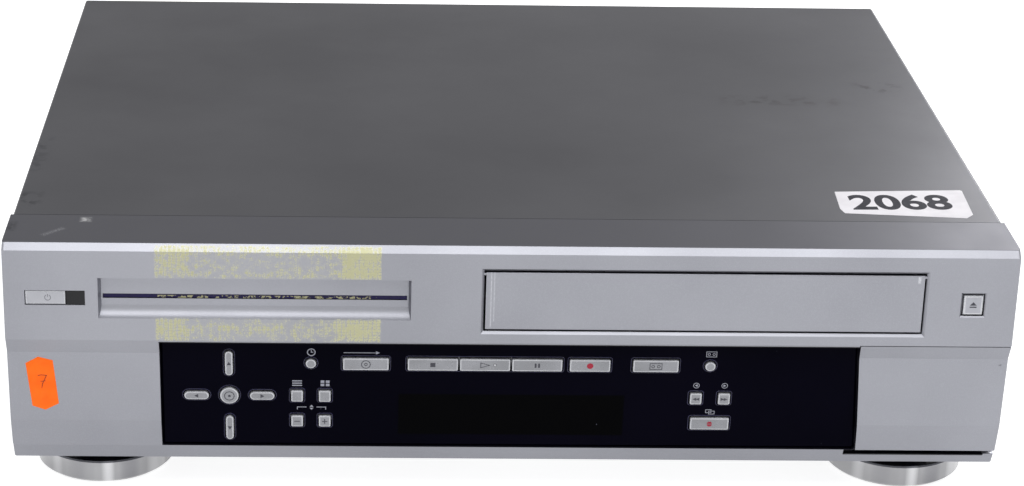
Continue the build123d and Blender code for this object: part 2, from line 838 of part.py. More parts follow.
with BuildPart() as front_panel:
    with BuildSketch(Plane.YZ.offset(-panel_half)):
        with BuildLine():
            Polyline(*side_points(outer_edge + [(ledge_depth, body_bottom), (ledge_depth, height)]), close=True)
        make_face()
    extrude(amount=width)
    end_edges = front_panel.edges().filter_by(
        lambda edge: abs(abs(edge.center().X) - panel_half) < 0.01
        and edge.center().Y < y_at(plinth_depth)
    )
    fillet(end_edges, corner_radius)
    with BuildSketch(Plane.YZ.offset(-panel_half + side_wall)):
        with BuildLine():
            Polyline(
                *side_points(
                    inner_edge + [(2 * ledge_depth, body_bottom + wall), (2 * ledge_depth, inner_top)]
                ),
                close=True,
            )
        make_face()
    extrude(amount=width - 2 * side_wall, mode=Mode.SUBTRACT)
    # Frame that the window is bedded in
    with BuildSketch(window_plane):
        Polygon(*window_outline(ledge_width), align=None)
    extrude(amount=-(window_thickness + ledge_thickness))
    # Wall behind the cove
    with BuildSketch(front_plane(wall)):
        with Locations((cove_x, cove_mid)):
            Rectangle(cove_width + cove_backing, cove_top - cove_bottom + cove_backing)
    extrude(amount=-(cove_depth + cove_backing - wall))
    # Bay behind the flap
    with BuildSketch(front_plane(lower_depth)):
        with Locations(((bay_left + bay_right) / 2, (bay_floor + bay_top) / 2)):
            Rectangle(bay_right - bay_left + 2 * bay_wall, bay_top - bay_floor + 2 * bay_wall)
    extrude(amount=-(bay_depth + bay_wall - lower_depth))
    # Cheek that closes the corner beside the flap's hinge
    with BuildSketch(Plane.YZ.offset(bay_left - 2 * bay_wall)):
        with Locations((y_at(flap_axis_depth), flap_axis_height)):
            Rectangle(2 * (flap_swing + bay_wall), 2 * (flap_swing + bay_wall))
    extrude(amount=2 * bay_wall)
    # Posts for the front board, above and below the window
    with BuildSketch(front_plane(front_board_depth)):
        for post_x in (window_left + post_inset, window_right_top - post_inset):
            for post_z in (board_low + post_margin, board_high - post_margin):
                with Locations((post_x, post_z)):
                    Circle(post_radius)
    extrude(amount=front_board_depth)
    with BuildSketch(Plane.YZ.offset(-panel_half)):
        with BuildLine():
            Polyline(
                *side_points(outer_edge + [(2 * ledge_depth, body_bottom), (2 * ledge_depth, height)]),
                close=True,
            )
        make_face()
    extrude(amount=width, mode=Mode.INTERSECT)
    # Window pocket and the opening behind it
    with BuildSketch(window_plane.offset(window_recess_bottom)) as pocket_sketch:
        Polygon(*window_outline(0), align=None)
        fillet(pocket_sketch.vertices().sort_by(Axis.Y)[:2], window_radius)
    extrude(amount=-(window_recess_bottom + window_thickness), mode=Mode.SUBTRACT)
    with BuildSketch(window_plane):
        Polygon(*window_outline(-ledge_width), align=None)
    extrude(amount=-(window_thickness + 3 * ledge_thickness), mode=Mode.SUBTRACT)
    # Cassette opening with a chamfered rim, and the pivot holes of its door
    with BuildSketch(front_plane(0)):
        with Locations((opening_x, opening_mid)):
            Rectangle(opening_width, opening_top - opening_bottom)
        with Locations((eject_x, eject_height)):
            Rectangle(eject_width + 2 * button_rim, eject_tall + 2 * button_rim)
        with Locations((power_x + sensor_width / 2, power_mid)):
            Rectangle(power_width + sensor_width, power_tall)
    extrude(amount=-2 * wall, mode=Mode.SUBTRACT)
    with BuildSketch(front_plane(0)):
        with Locations((opening_x, opening_mid)):
            Rectangle(opening_width + 2 * opening_chamfer, opening_top - opening_bottom + 2 * opening_chamfer)
        with Locations((eject_x, eject_height)):
            Rectangle(
                eject_width + 2 * button_rim + opening_chamfer,
                eject_tall + 2 * button_rim + opening_chamfer,
            )
    extrude(amount=-opening_chamfer, taper=45, mode=Mode.SUBTRACT)
    with BuildSketch(Plane.YZ.offset(opening_left - door_pin_length)):
        with Locations((y_at(door_axis_depth), door_axis_height)):
            Circle(door_pin_radius + shaft_gap)
    extrude(amount=opening_width + 2 * door_pin_length, mode=Mode.SUBTRACT)
    # Cove and its slot
    add(cove_space.part, mode=Mode.SUBTRACT)
    with BuildSketch(front_plane(cove_depth / 2)):
        with Locations((cove_x, slot_mid)):
            Rectangle(slot_width, slot_height)
    extrude(amount=-(cove_depth + cove_backing), mode=Mode.SUBTRACT)
    # Flap pocket, bay, finger gap and room for the flap's lower edge to swing
    add(flap_space.part, mode=Mode.SUBTRACT)
    with BuildSketch(front_plane(-wall)):
        with Locations(((bay_left + bay_right) / 2, (bay_floor + bay_top) / 2)):
            Rectangle(bay_right - bay_left, bay_top - bay_floor)
    extrude(amount=-(bay_depth + wall), mode=Mode.SUBTRACT)
    with BuildSketch(front_plane(-wall)):
        with Locations(((finger_left + finger_right) / 2, (bay_floor + skirt_bottom) / 2)):
            Rectangle(finger_right - finger_left, skirt_bottom - bay_floor - seat_gap / 3)
    extrude(amount=-(flap_axis_depth + wall), mode=Mode.SUBTRACT)
    with BuildSketch(Plane.YZ.offset(seam_x(flap_axis_height))):
        with Locations((y_at(flap_axis_depth), flap_axis_height)):
            Circle(flap_swing)
        with Locations((y_at(flap_axis_depth), flap_axis_height + flap_swing / 2)):
            Rectangle(2 * flap_swing, flap_swing, mode=Mode.SUBTRACT)
    extrude(amount=seam_inset_bottom + wall, mode=Mode.SUBTRACT)
    for bearing_x in (bay_left - bay_wall, bay_right):
        with BuildSketch(Plane.YZ.offset(bearing_x)):
            with Locations((y_at(flap_axis_depth), flap_axis_height)):
                Circle(flap_boss_radius)
            with Locations((y_at(flap_axis_depth + flap_swing / 2), flap_axis_height)):
                Rectangle(flap_swing, 2 * flap_boss_radius)
        extrude(amount=bay_wall)
    with BuildSketch(Plane.YZ.offset(bay_left - bay_wall)):
        with Locations((y_at(flap_axis_depth), flap_axis_height)):
            Circle(flap_pin_radius + shaft_gap)
    extrude(amount=bay_right - bay_left + 2 * bay_wall, mode=Mode.SUBTRACT)
    # Holes for the front sockets in the back of the bay
    with BuildSketch(front_plane(bay_depth)):
        with Locations(*[(socket_x, front_socket_height) for socket_x in front_phono_x]):
            Circle(phono_collar + slide_gap)
        with Locations((front_svideo_x, front_socket_height)):
            Circle(svideo_radius + slide_gap)
    extrude(amount=-2 * bay_wall, mode=Mode.SUBTRACT)
finish(front_panel, "front_panel")

# Display window: smoked clear plastic with a bevelled lower edge and a hole for each button
with BuildPart() as display_window:
    with BuildSketch(window_plane) as window_sketch:
        Polygon(*window_outline(-bed_gap), align=None)
        fillet(window_sketch.vertices().sort_by(Axis.Y)[:2], window_radius)
        for name, x, z, wide, tall, radius, lip in window_buttons:
            if lip == button_lip:
                with Locations((x, up_window(z))):
                    button_outline(wide, tall, radius, slide_gap, Mode.SUBTRACT)
        with Locations((first_deck_x + deck_key_pitch, up_window(top_row))):
            Rectangle(
                2 * deck_key_pitch + deck_key + 2 * slide_gap,
                deck_key_height + 2 * slide_gap,
                mode=Mode.SUBTRACT,
            )
    extrude(amount=-window_thickness)
    front_face = display_window.faces().sort_by(Axis((0, 0, 0), tuple(-press)))[-1]
    lower_edge = front_face.outer_wire().edges().filter_by(Axis.X).sort_by(Axis.Z)[0]
    chamfer(lower_edge, window_bevel)
finish(display_window, "display_window")

# Window buttons: a cap, a lip that stops it behind the window and a stem that reaches its switch
for name, x, z, wide, tall, radius, lip in window_buttons:
    stem_end = (plunger_front - button_travel - slide_gap - window_depth(z)) / cos(lean)
    with BuildPart() as button:
        with BuildSketch(window_plane.offset(button_proud)):
            with Locations((x, up_window(z))):
                button_outline(wide, tall, radius)
        extrude(amount=-(button_proud + window_thickness))
        cap_face = button.faces().sort_by(Axis((0, 0, 0), tuple(-press)))[-1]
        fillet(cap_face.edges(), button_edge)
        with BuildSketch(window_plane.offset(-window_thickness)):
            with Locations((x, up_window(z))):
                if radius == 0:
                    Circle(wide / 2 + lip)
                else:
                    Rectangle(wide + 2 * lip, tall + 2 * button_lip)
        extrude(amount=-button_lip)
        with BuildSketch(window_plane.offset(-window_thickness - button_lip)):
            with Locations((x, up_window(z))):
                Rectangle(stem_size, stem_size)
        extrude(amount=-(stem_end - window_thickness - button_lip))
    finish(button, name)

# Power button beside the remote sensor's dark window
with BuildPart() as power_button:
    with BuildSketch(front_plane(power_setback)):
        with Locations((power_x, power_mid)):
            Rectangle(power_width - 2 * slide_gap, power_tall - 2 * slide_gap)
    extrude(amount=-(wall - power_setback))
    fillet(power_button.faces().sort_by(Axis.Y)[0].edges(), button_edge)
    with BuildSketch(front_plane(wall)):
        with Locations((power_x, power_mid)):
            Rectangle(power_width - 2 * slide_gap, power_tall + 2 * button_lip)
    extrude(amount=-button_lip)
    with BuildSketch(front_plane(wall + button_lip)):
        with Locations((power_x, power_mid)):
            Rectangle(stem_size, stem_size)
    extrude(amount=-(plunger_front - button_travel - slide_gap - wall - button_lip))
finish(power_button, "power_button")

with BuildPart() as sensor_window:
    with BuildSketch(front_plane(power_setback)):
        with Locations((sensor_x, power_mid)):
            Rectangle(sensor_width - 2 * bed_gap, power_tall - 2 * bed_gap)
    extrude(amount=-(wall - power_setback))
    with BuildSketch(front_plane(wall)):
        with Locations((sensor_x, power_mid)):
            Rectangle(sensor_width - 2 * bed_gap, power_tall + 2 * button_lip)
    extrude(amount=-button_lip)
finish(sensor_window, "sensor_window")

# Lamp bar in the slot of the cove, held by a flange behind the wall
with BuildPart() as slot_lens:
    with BuildSketch(front_plane(cove_depth + lens_setback)):
        with Locations((cove_x, slot_mid)):
            Rectangle(slot_width - 2 * bed_gap, slot_height - 2 * bed_gap)
    extrude(amount=-(cove_backing - lens_setback))
    with BuildSketch(front_plane(cove_depth + cove_backing)):
        with Locations((cove_x, slot_mid)):
            Rectangle(slot_width, slot_height + 2 * lens_flange)
    extrude(amount=-lens_flange)
finish(slot_lens, "slot_lens")

with BuildPart() as eject_button:
    with BuildSketch(front_plane(eject_setback)):
        with Locations((eject_x, eject_height)):
            Rectangle(eject_width, eject_tall)
    extrude(amount=-(wall - eject_setback))
    fillet(eject_button.faces().sort_by(Axis.Y)[0].edges(), button_edge)
    with BuildSketch(front_plane(wall)):
        with Locations((eject_x, eject_height)):
            Rectangle(eject_width + 2 * button_rim + 2 * button_lip, eject_tall + 2 * button_rim + 2 * button_lip)
    extrude(amount=-button_lip)
    with BuildSketch(front_plane(wall + button_lip)):
        with Locations((eject_x, eject_height)):
            Rectangle(stem_size, stem_size)
    extrude(
        amount=-(jack_board_depth - switch_body - plunger_length - button_travel - slide_gap - wall - button_lip)
    )
finish(eject_button, "eject_button")

# Cassette door, pivoted on short pins in the middle of its thickness so that it swings in and up
door_half = opening_width / 2 - door_gap
with BuildPart() as cassette_door:
    with BuildSketch(front_plane(door_setback)):
        with Locations((opening_x, (opening_bottom + door_gap + door_top) / 2)):
            Rectangle(2 * door_half, door_top - opening_bottom - door_gap)
    extrude(amount=-door_thickness)
    fillet(cassette_door.edges().filter_by(Axis.X), door_edge)
    with BuildSketch(Plane.YZ.offset(opening_x - door_half - door_pin_reach)):
        with Locations((y_at(door_axis_depth), door_axis_height)):
            Circle(door_pin_radius)
    extrude(amount=2 * (door_half + door_pin_reach))
finish(cassette_door, "cassette_door")

# Flap over the front sockets, with two lugs and pins near its lower edge
flap_outer = [
    (face_depth(flap_top), flap_top),
    (strip_depth, strip_bottom),
    (lower_depth, lower_bottom),
    (skirt_depth, skirt_bottom),
]
flap_inner = [(depth + flap_thickness, z) for depth, z in reversed(flap_outer)]
with BuildPart() as socket_flap:
    with BuildSketch(Plane.YZ.offset(window_right_top - wall)):
        with BuildLine():
            Polyline(*side_points(flap_outer + flap_inner), close=True)
        make_face()
    extrude(amount=seam_inset_top + wall)
    flap_end = socket_flap.edges().filter_by(
        lambda edge: abs(edge.center().X - panel_half) < 0.01
        and edge.center().Y < y_at(face_depth(edge.center().Z) + corner_radius / 2)
        and edge.length > flap_thickness + seat_gap
    )
    fillet(flap_end, corner_radius)
    with BuildSketch(front_plane(-2 * wall)):
        Polygon(
            (seam_x(bay_floor) + flap_gap, bay_floor),
            (width, bay_floor),
            (width, height),
            (seam_x(height) + flap_gap, height),
            align=None,
        )
    extrude(amount=-bay_depth, mode=Mode.INTERSECT)
    for lug_x in (bay_left + seat_gap, bay_right - seat_gap - flap_lug_width):
        with BuildSketch(Plane.YZ.offset(lug_x)):
            with Locations((y_at(flap_axis_depth), flap_axis_height)):
                Circle(flap_lug_radius)
            with BuildLine():
                Polyline(
                    *side_points(
                        [
                            (skirt_depth + flap_thickness / 2, flap_axis_height - flap_lug_radius),
                            (flap_axis_depth, flap_axis_height - flap_lug_radius),
                            (flap_axis_depth, flap_axis_height + flap_lug_radius),
                            (skirt_depth + flap_thickness / 4, flap_axis_height + 2 * flap_lug_radius),
                        ]
                    ),
                    close=True,
                )
            make_face()
        extrude(amount=flap_lug_width)
    for pin_start, pin_end in (
        (bay_left - bay_wall + seat_gap, bay_left + seat_gap + flap_lug_width),
        (bay_right - seat_gap - flap_lug_width, bay_right + bay_wall - seat_gap),
    ):
        with BuildSketch(Plane.YZ.offset(pin_start)):
            with Locations((y_at(flap_axis_depth), flap_axis_height)):
                Circle(flap_pin_radius)
        extrude(amount=pin_end - pin_start)
finish(socket_flap, "socket_flap")

# Cover: one bent sheet with a joggled front edge that tucks under the panel's ledge
cover_front = ledge_depth + seam
side_screws = [
    (y_at(screw_front_depth), side_screw_height),
    (y_at(body_depth - screw_back_inset), side_screw_height),
]
rear_screws = [(x, height - tab_height + 3 * screw_radius) for x in (-rear_screw_x, 0, rear_screw_x)]
with BuildPart() as top_cover:
    with BuildSketch(front_plane(cover_front)) as cover_sketch:
        with Locations((0, (cover_bottom + height) / 2)):
            Rectangle(2 * cover_half, height - cover_bottom)
        fillet(cover_sketch.vertices().sort_by(Axis.Y)[-2:], bend_radius)
    extrude(amount=-(body_depth - cover_front))
    with BuildSketch(front_plane(cover_front)) as inside_sketch:
        with Locations((0, (cover_bottom + height) / 2 - sheet)):
            Rectangle(2 * (cover_half - sheet), height - cover_bottom)
        fillet(inside_sketch.vertices().sort_by(Axis.Y)[-2:], bend_radius - sheet)
    extrude(amount=-body_depth, mode=Mode.SUBTRACT)
    tongue_top = inner_top - bed_gap
    tongue_points = [
        (cover_front - tongue_depth, tongue_top),
        (cover_front, tongue_top),
        (cover_front, height - sheet),
        (cover_front + sheet, height - sheet),
        (cover_front + sheet, tongue_top - sheet),
        (cover_front - tongue_depth, tongue_top - sheet),
    ]
    with BuildSketch(Plane.YZ.offset(-panel_half + side_wall + seat_gap)):
        with BuildLine():
            Polyline(*side_points(tongue_points), close=True)
        make_face()
    extrude(amount=2 * (panel_half - side_wall - seat_gap))
    with BuildSketch(Plane.YZ.offset(-cover_half)):
        with Locations(*side_screws):
            Circle(screw_radius + slide_gap)
    extrude(amount=2 * cover_half, mode=Mode.SUBTRACT)
    # Tabs folded down behind the rear panel
    with BuildSketch(front_plane(rear_panel_depth)):
        for screw_x, screw_z in rear_screws:
            with Locations((screw_x, height - (tab_height + sheet) / 2)):
                Rectangle(tab_width, tab_height - sheet)
            with Locations((screw_x, screw_z)):
                Circle(screw_radius + slide_gap, mode=Mode.SUBTRACT)
    extrude(amount=-sheet)
finish(top_cover, "top_cover")

# Bottom tray: pressed steel with upturned edges, vent slots, bosses for the boards and feet
tray_half = cover_half - sheet - bed_gap
with BuildPart() as bottom_tray:
    with BuildSketch(front_plane(cover_front)):
        with Locations((0, body_bottom + tray_wall_height / 2)):
            Rectangle(2 * tray_half, tray_wall_height)
        with Locations((0, body_bottom + tray_wall_height / 2 + tray_sheet)):
            Rectangle(2 * (tray_half - tray_sheet), tray_wall_height, mode=Mode.SUBTRACT)
    extrude(amount=-(rear_panel_depth - cover_front))
    with BuildSketch(front_plane(cover_front)):
        with Locations((0, body_bottom + tray_wall_height / 4)):
            Rectangle(2 * tray_half, tray_wall_height / 2)
    extrude(amount=-tray_sheet)
    with BuildSketch(Plane.YZ.offset(-tray_half)):
        with Locations((y_at(rear_inner_depth + sheet), body_bottom + tray_sheet + tray_wall_height / 2)):
            Rectangle(2 * (sheet + bed_gap), tray_wall_height)
    extrude(amount=2 * tray_half, mode=Mode.SUBTRACT)
    with BuildSketch(top_plane(board_height)):
        with Locations(*board_posts):
            Circle(boss_radius)
    extrude(amount=-(board_height - tray_top))
    with BuildSketch(top_plane(body_bottom)):
        for grid_x in (-panel_half / 2, panel_half / 2):
            with Locations((grid_x, vent_depth)):
                with GridLocations(vent_pitch, vent_row_pitch, vent_count, 2):
                    SlotOverall(vent_length, vent_width, rotation=90)
        with Locations(*foot_places):
            Circle(screw_radius + shaft_gap)
    extrude(amount=tray_sheet, mode=Mode.SUBTRACT)
    with BuildSketch(Plane.YZ.offset(-tray_half)):
        with Locations(*side_screws):
            Circle(screw_radius + shaft_gap)
    extrude(amount=2 * tray_half, mode=Mode.SUBTRACT)
finish(bottom_tray, "bottom_tray")

# Rear panel: steel sheet with a cut-out for each socket and a ring grille over the fan
with BuildPart() as rear_panel:
    with BuildSketch(front_plane(rear_inner_depth)):
        with Locations((0, (tray_top + height - sheet - bed_gap) / 2)):
            RectangleRounded(2 * (tray_half - seat_gap), height - sheet - bed_gap - tray_top, bend_radius)
        with Locations(*rear_screws):
            Circle(screw_radius + shaft_gap, mode=Mode.SUBTRACT)
        for scart_z in scart_heights:
            with Locations((scart_x, scart_z)):
                Rectangle(scart_width + 2 * slide_gap, scart_tall + 2 * slide_gap, mode=Mode.SUBTRACT)
        with Locations(*phono_places):
            Circle(phono_collar + slide_gap, mode=Mode.SUBTRACT)
        with Locations((phono_x, svideo_height)):
            Circle(svideo_radius + slide_gap, mode=Mode.SUBTRACT)
        with Locations((tuner_x, aerial_in_height), (tuner_x, aerial_out_height)):
            Circle(aerial_radius + aerial_wall + slide_gap, mode=Mode.SUBTRACT)
        with Locations((inlet_x, inlet_height)):
            RectangleRounded(
                inlet_width + 2 * slide_gap,
                inlet_tall + 2 * slide_gap,
                inlet_tall / 3,
                mode=Mode.SUBTRACT,
            )
        with Locations((fan_x, fan_height)):
            for ring in range(fan_rings, 0, -1):
                Circle(fan_ring_pitch * (ring + 1), mode=Mode.SUBTRACT)
                Circle(fan_ring_pitch * (ring + 1) - fan_slot_width)
            Rectangle(2 * fan_duct_radius, 2 * fan_strut, rotation=45)
            Rectangle(2 * fan_duct_radius, 2 * fan_strut, rotation=135)
            with GridLocations(fan_hole_pitch, fan_hole_pitch, 2, 2):
                Circle(fan_screw_radius + shaft_gap, mode=Mode.SUBTRACT)
    extrude(amount=-sheet)
finish(rear_panel, "rear_panel")

# Screws of the cover: four at the sides and three at the back
with BuildPart() as cover_screws:
    for side in (-1, 1):
        with BuildSketch(Plane.YZ.offset(side * cover_half)):
            with Locations(*side_screws):
                Circle(screw_head_radius)
        extrude(amount=side * screw_head)
        with BuildSketch(Plane.YZ.offset(side * cover_half)):
            with Locations(*side_screws):
                Circle(screw_radius)
        extrude(amount=-side * screw_length)
    with BuildSketch(front_plane(body_depth)):
        with Locations(*rear_screws):
            Circle(screw_head_radius)
    extrude(amount=-2 * screw_head)
    with BuildSketch(front_plane(body_depth)):
        with Locations(*rear_screws):
            Circle(screw_radius)
    extrude(amount=screw_length)
finish(cover_screws, "cover_screws")

# Front feet: moulded cups with a plated rim, open on top around a neck
foot_profile = [
    (0, pad_proud + pad_thickness / 2),
    (pad_radius + seat_gap, pad_proud + pad_thickness / 2),
    (pad_radius + seat_gap, pad_proud),
    (foot_radius - foot_edge, pad_proud),
    (foot_radius, pad_proud + foot_edge),
    (foot_radius, foot_rim_height - foot_edge / 2),
    (foot_radius - foot_edge / 2, foot_rim_height),
    (foot_radius - foot_rim_wall, foot_rim_height),
    (foot_radius - foot_rim_wall, foot_rim_height - foot_cup_depth),
    (foot_neck_radius, foot_rim_height - foot_cup_depth),
    (foot_neck_radius, body_bottom),
    (screw_radius, body_bottom),
    (screw_radius, tray_top + screw_radius),
    (0, tray_top + screw_radius),
]
with BuildPart() as front_feet:
    for side in (-1, 1):
        foot_plane = Plane(origin=(side * foot_x, y_at(foot_depth), 0), x_dir=(1, 0, 0), z_dir=(0, -1, 0))
        with BuildSketch(foot_plane):
            with BuildLine():
                Polyline(*foot_profile, close=True)
            make_face()
        revolve(axis=Axis((side * foot_x, y_at(foot_depth), 0), (0, 0, 1)))
finish(front_feet, "front_feet")

with BuildPart() as rear_feet:
    for side in (-1, 1):
        foot_plane = Plane(origin=(side * foot_x, y_at(rear_foot_depth), 0), x_dir=(1, 0, 0), z_dir=(0, -1, 0))
        with BuildSketch(foot_plane):
            with BuildLine():
                Polyline(
                    (0, pad_proud + pad_thickness / 2),
                    (rear_pad_radius + seat_gap, pad_proud + pad_thickness / 2),
                    (rear_pad_radius + seat_gap, pad_proud),
                    (rear_foot_radius - foot_edge, pad_proud),
                    (rear_foot_radius + foot_edge, body_bottom),
                    (screw_radius, body_bottom),
                    (screw_radius, tray_top + screw_radius),
                    (0, tray_top + screw_radius),
                    close=True,
                )
            make_face()
        revolve(axis=Axis((side * foot_x, y_at(rear_foot_depth), 0), (0, 0, 1)))
finish(rear_feet, "rear_feet")

with BuildPart() as foot_pads:
    with BuildSketch(top_plane(0)):
        with Locations((-foot_x, foot_depth), (foot_x, foot_depth)):
            Circle(pad_radius)
        with Locations((-foot_x, rear_foot_depth), (foot_x, rear_foot_depth)):
            Circle(rear_pad_radius)
    extrude(amount=pad_proud + pad_thickness / 2)
finish(foot_pads, "foot_pads")

# Front board: upright card behind the window with a switch for each button
front_board_right = bay_left - bay_wall - 2 * seat_gap
front_board_left = -panel_half + side_wall + seat_gap
with BuildPart() as front_board:
    with BuildSketch(front_plane(front_board_depth)):
        Polygon(
            (front_board_left, board_low),
            (front_board_right, board_low),
            (front_board_right, board_high),
            (cove_x - cove_width / 2 - cove_backing, board_high),
            (cove_x - cove_width / 2 - cove_backing, board_tab_height),
            (front_board_left, board_tab_height),
            align=None,
        )
    extrude(amount=-board_thickness)
    switch_places = [(x, z + stem_rise(z)) for name, x, z, wide, tall, radius, lip in window_buttons]
    switch_places.append((power_x, power_mid))
    with BuildSketch(front_plane(front_board_depth)):
        with Locations(*switch_places):
            Rectangle(switch_size, switch_size)
        with Locations((sensor_x, power_mid)):
            Rectangle(sensor_width - 2 * button_lip, sensor_width)
    extrude(amount=switch_body)
    with BuildSketch(front_plane(front_board_depth - switch_body)):
        with Locations(*switch_places):
            Circle(plunger_radius)
    extrude(amount=plunger_length)
finish(front_board, "front_board")

# Display tube: flat glass envelope with a thinner seal round it, standing on the board
with BuildPart() as display_tube:
    with BuildSketch(front_plane(front_board_depth)):
        with Locations((tube_x, tube_height)):
            Rectangle(tube_width, tube_tall)
    extrude(amount=tube_thickness / 2)
    with BuildSketch(front_plane(front_board_depth - tube_thickness / 2)):
        with Locations((tube_x, tube_height)):
            Rectangle(tube_width - tube_seal, tube_tall - tube_seal)
    extrude(amount=tube_thickness / 2)
finish(display_tube, "display_tube")

# Front sockets: three phono and one round video socket on their own board, with the eject switch
with BuildPart() as front_sockets:
    with BuildSketch(front_plane(jack_board_depth)):
        with Locations(((bay_left + bay_right) / 2, front_socket_height)):
            Rectangle(bay_right - bay_left, jack_board_tall)
        with Locations((eject_x, (front_socket_height + eject_height + switch_size) / 2)):
            Rectangle(2 * switch_size, eject_height + switch_size - front_socket_height)
    extrude(amount=-board_thickness)
    with BuildSketch(front_plane(bay_depth + bay_wall)):
        for socket_x in front_phono_x + [front_svideo_x]:
            with Locations((socket_x, front_socket_height)):
                Rectangle(socket_body, socket_body)
    extrude(amount=-(jack_board_depth - bay_depth - bay_wall))
    with BuildSketch(front_plane(bay_depth + bay_wall)):
        for socket_x in front_phono_x:
            with Locations((socket_x, front_socket_height)):
                Circle(phono_collar)
    extrude(amount=bay_wall + collar_proud)
    with BuildSketch(front_plane(bay_depth + bay_wall)):
        for socket_x in front_phono_x:
            with Locations((socket_x, front_socket_height)):
                Circle(phono_radius)
        with Locations((front_svideo_x, front_socket_height)):
            Circle(svideo_radius)
    extrude(amount=bay_wall + front_phono_reach)
    with BuildSketch(front_plane(bay_depth - front_phono_reach)):
        for socket_x in front_phono_x:
            with Locations((socket_x, front_socket_height)):
                Circle(phono_bore)
        with Locations((front_svideo_x, front_socket_height)):
            Circle(svideo_radius - svideo_shell)
            Circle(svideo_core, mode=Mode.SUBTRACT)
    extrude(amount=-front_phono_reach, mode=Mode.SUBTRACT)
    with BuildSketch(front_plane(jack_board_depth)):
        with Locations((eject_x, eject_height)):
            Rectangle(switch_size, switch_size)
    extrude(amount=switch_body)
    with BuildSketch(front_plane(jack_board_depth - switch_body)):
        with Locations((eject_x, eject_height)):
            Circle(plunger_radius)
    extrude(amount=plunger_length)
finish(front_sockets, "front_sockets")

# Main board: L-shaped card beside and behind the tape deck, with its chips, capacitors and ribbon header
with BuildPart() as main_board:
    with BuildSketch(top_plane(board_height)):
        Polygon(*main_board_outline, align=None)
    extrude(amount=board_thickness)
    for x, depth, wide, long, tall in main_board_chips:
        with BuildSketch(top_plane(board_top)):
            with Locations((x, depth)):
                Rectangle(wide, long)
        extrude(amount=tall)
    for x, depth, radius, tall in main_board_cans:
        with BuildSketch(top_plane(board_top)):
            with Locations((x, depth)):
                Circle(radius)
        extrude(amount=tall)
finish(main_board, "main_board")

# Power supply: its own board with a transformer, capacitors, chokes and two heat sinks
with BuildPart() as power_supply:
    with BuildSketch(top_plane(board_height)):
        Polygon(*supply_outline, align=None)
    extrude(amount=board_thickness)
    for x, depth, wide, long, tall in supply_blocks:
        with BuildSketch(top_plane(board_top)):
            with Locations((x, depth)):
                Rectangle(wide, long)
        extrude(amount=tall)
    for x, depth, radius, tall in supply_cans:
        with BuildSketch(top_plane(board_top)):
            with Locations((x, depth)):
                Circle(radius)
        extrude(amount=tall)
finish(power_supply, "power_supply")

# Mains inlet: a figure-eight cavity with two round pins
with BuildPart() as mains_inlet:
    with BuildSketch(front_plane(rear_inner_depth - inlet_depth)):
        with Locations((inlet_x, inlet_height)):
            RectangleRounded(inlet_width, inlet_tall, inlet_tall / 3)
    extrude(amount=-(inlet_depth + sheet + inlet_proud))
    with BuildSketch(front_plane(rear_panel_depth + inlet_proud)):
        with Locations((inlet_x - inlet_pitch / 2, inlet_height), (inlet_x + inlet_pitch / 2, inlet_height)):
            Circle(inlet_lobe)
        with Locations((inlet_x, inlet_height)):
            Rectangle(inlet_pitch, inlet_waist)
    extrude(amount=inlet_cavity, mode=Mode.SUBTRACT)
    with BuildSketch(front_plane(rear_panel_depth + inlet_proud - inlet_cavity)):
        with Locations((inlet_x - inlet_pitch / 2, inlet_height), (inlet_x + inlet_pitch / 2, inlet_height)):
            Circle(inlet_pin_radius)
    extrude(amount=-inlet_pin)
finish(mains_inlet, "mains_inlet")

# Two 21-way sockets, one above the other, moulded as one block on the main board
with BuildPart() as scart_sockets:
    scart_top = max(scart_heights) + scart_tall / 2
    with BuildSketch(front_plane(rear_inner_depth - scart_depth)):
        with Locations((scart_x, (board_top + bed_gap + scart_top) / 2)):
            Rectangle(scart_width, scart_top - board_top - bed_gap)
    extrude(amount=-(scart_depth - bed_gap))
    for scart_z in scart_heights:
        with BuildSketch(front_plane(rear_inner_depth - bed_gap)):
            with Locations((scart_x, scart_z)):
                Rectangle(scart_width, scart_tall)
        extrude(amount=-(bed_gap + 2 * sheet))
        half_wide = scart_cavity_width / 2
        half_tall = scart_cavity_tall / 2
        with BuildSketch(front_plane(rear_panel_depth + sheet)):
            Polygon(
                (scart_x - half_wide, scart_z - half_tall),
                (scart_x + half_wide, scart_z - half_tall),
                (scart_x + half_wide, scart_z + half_tall - scart_slant),
                (scart_x + half_wide - scart_slant, scart_z + half_tall),
                (scart_x - half_wide, scart_z + half_tall),
                align=None,
            )
            with Locations((scart_x, scart_z)):
                Rectangle(scart_core_width, scart_core_tall, mode=Mode.SUBTRACT)
        extrude(amount=scart_cavity_depth, mode=Mode.SUBTRACT)
finish(scart_sockets, "scart_sockets")

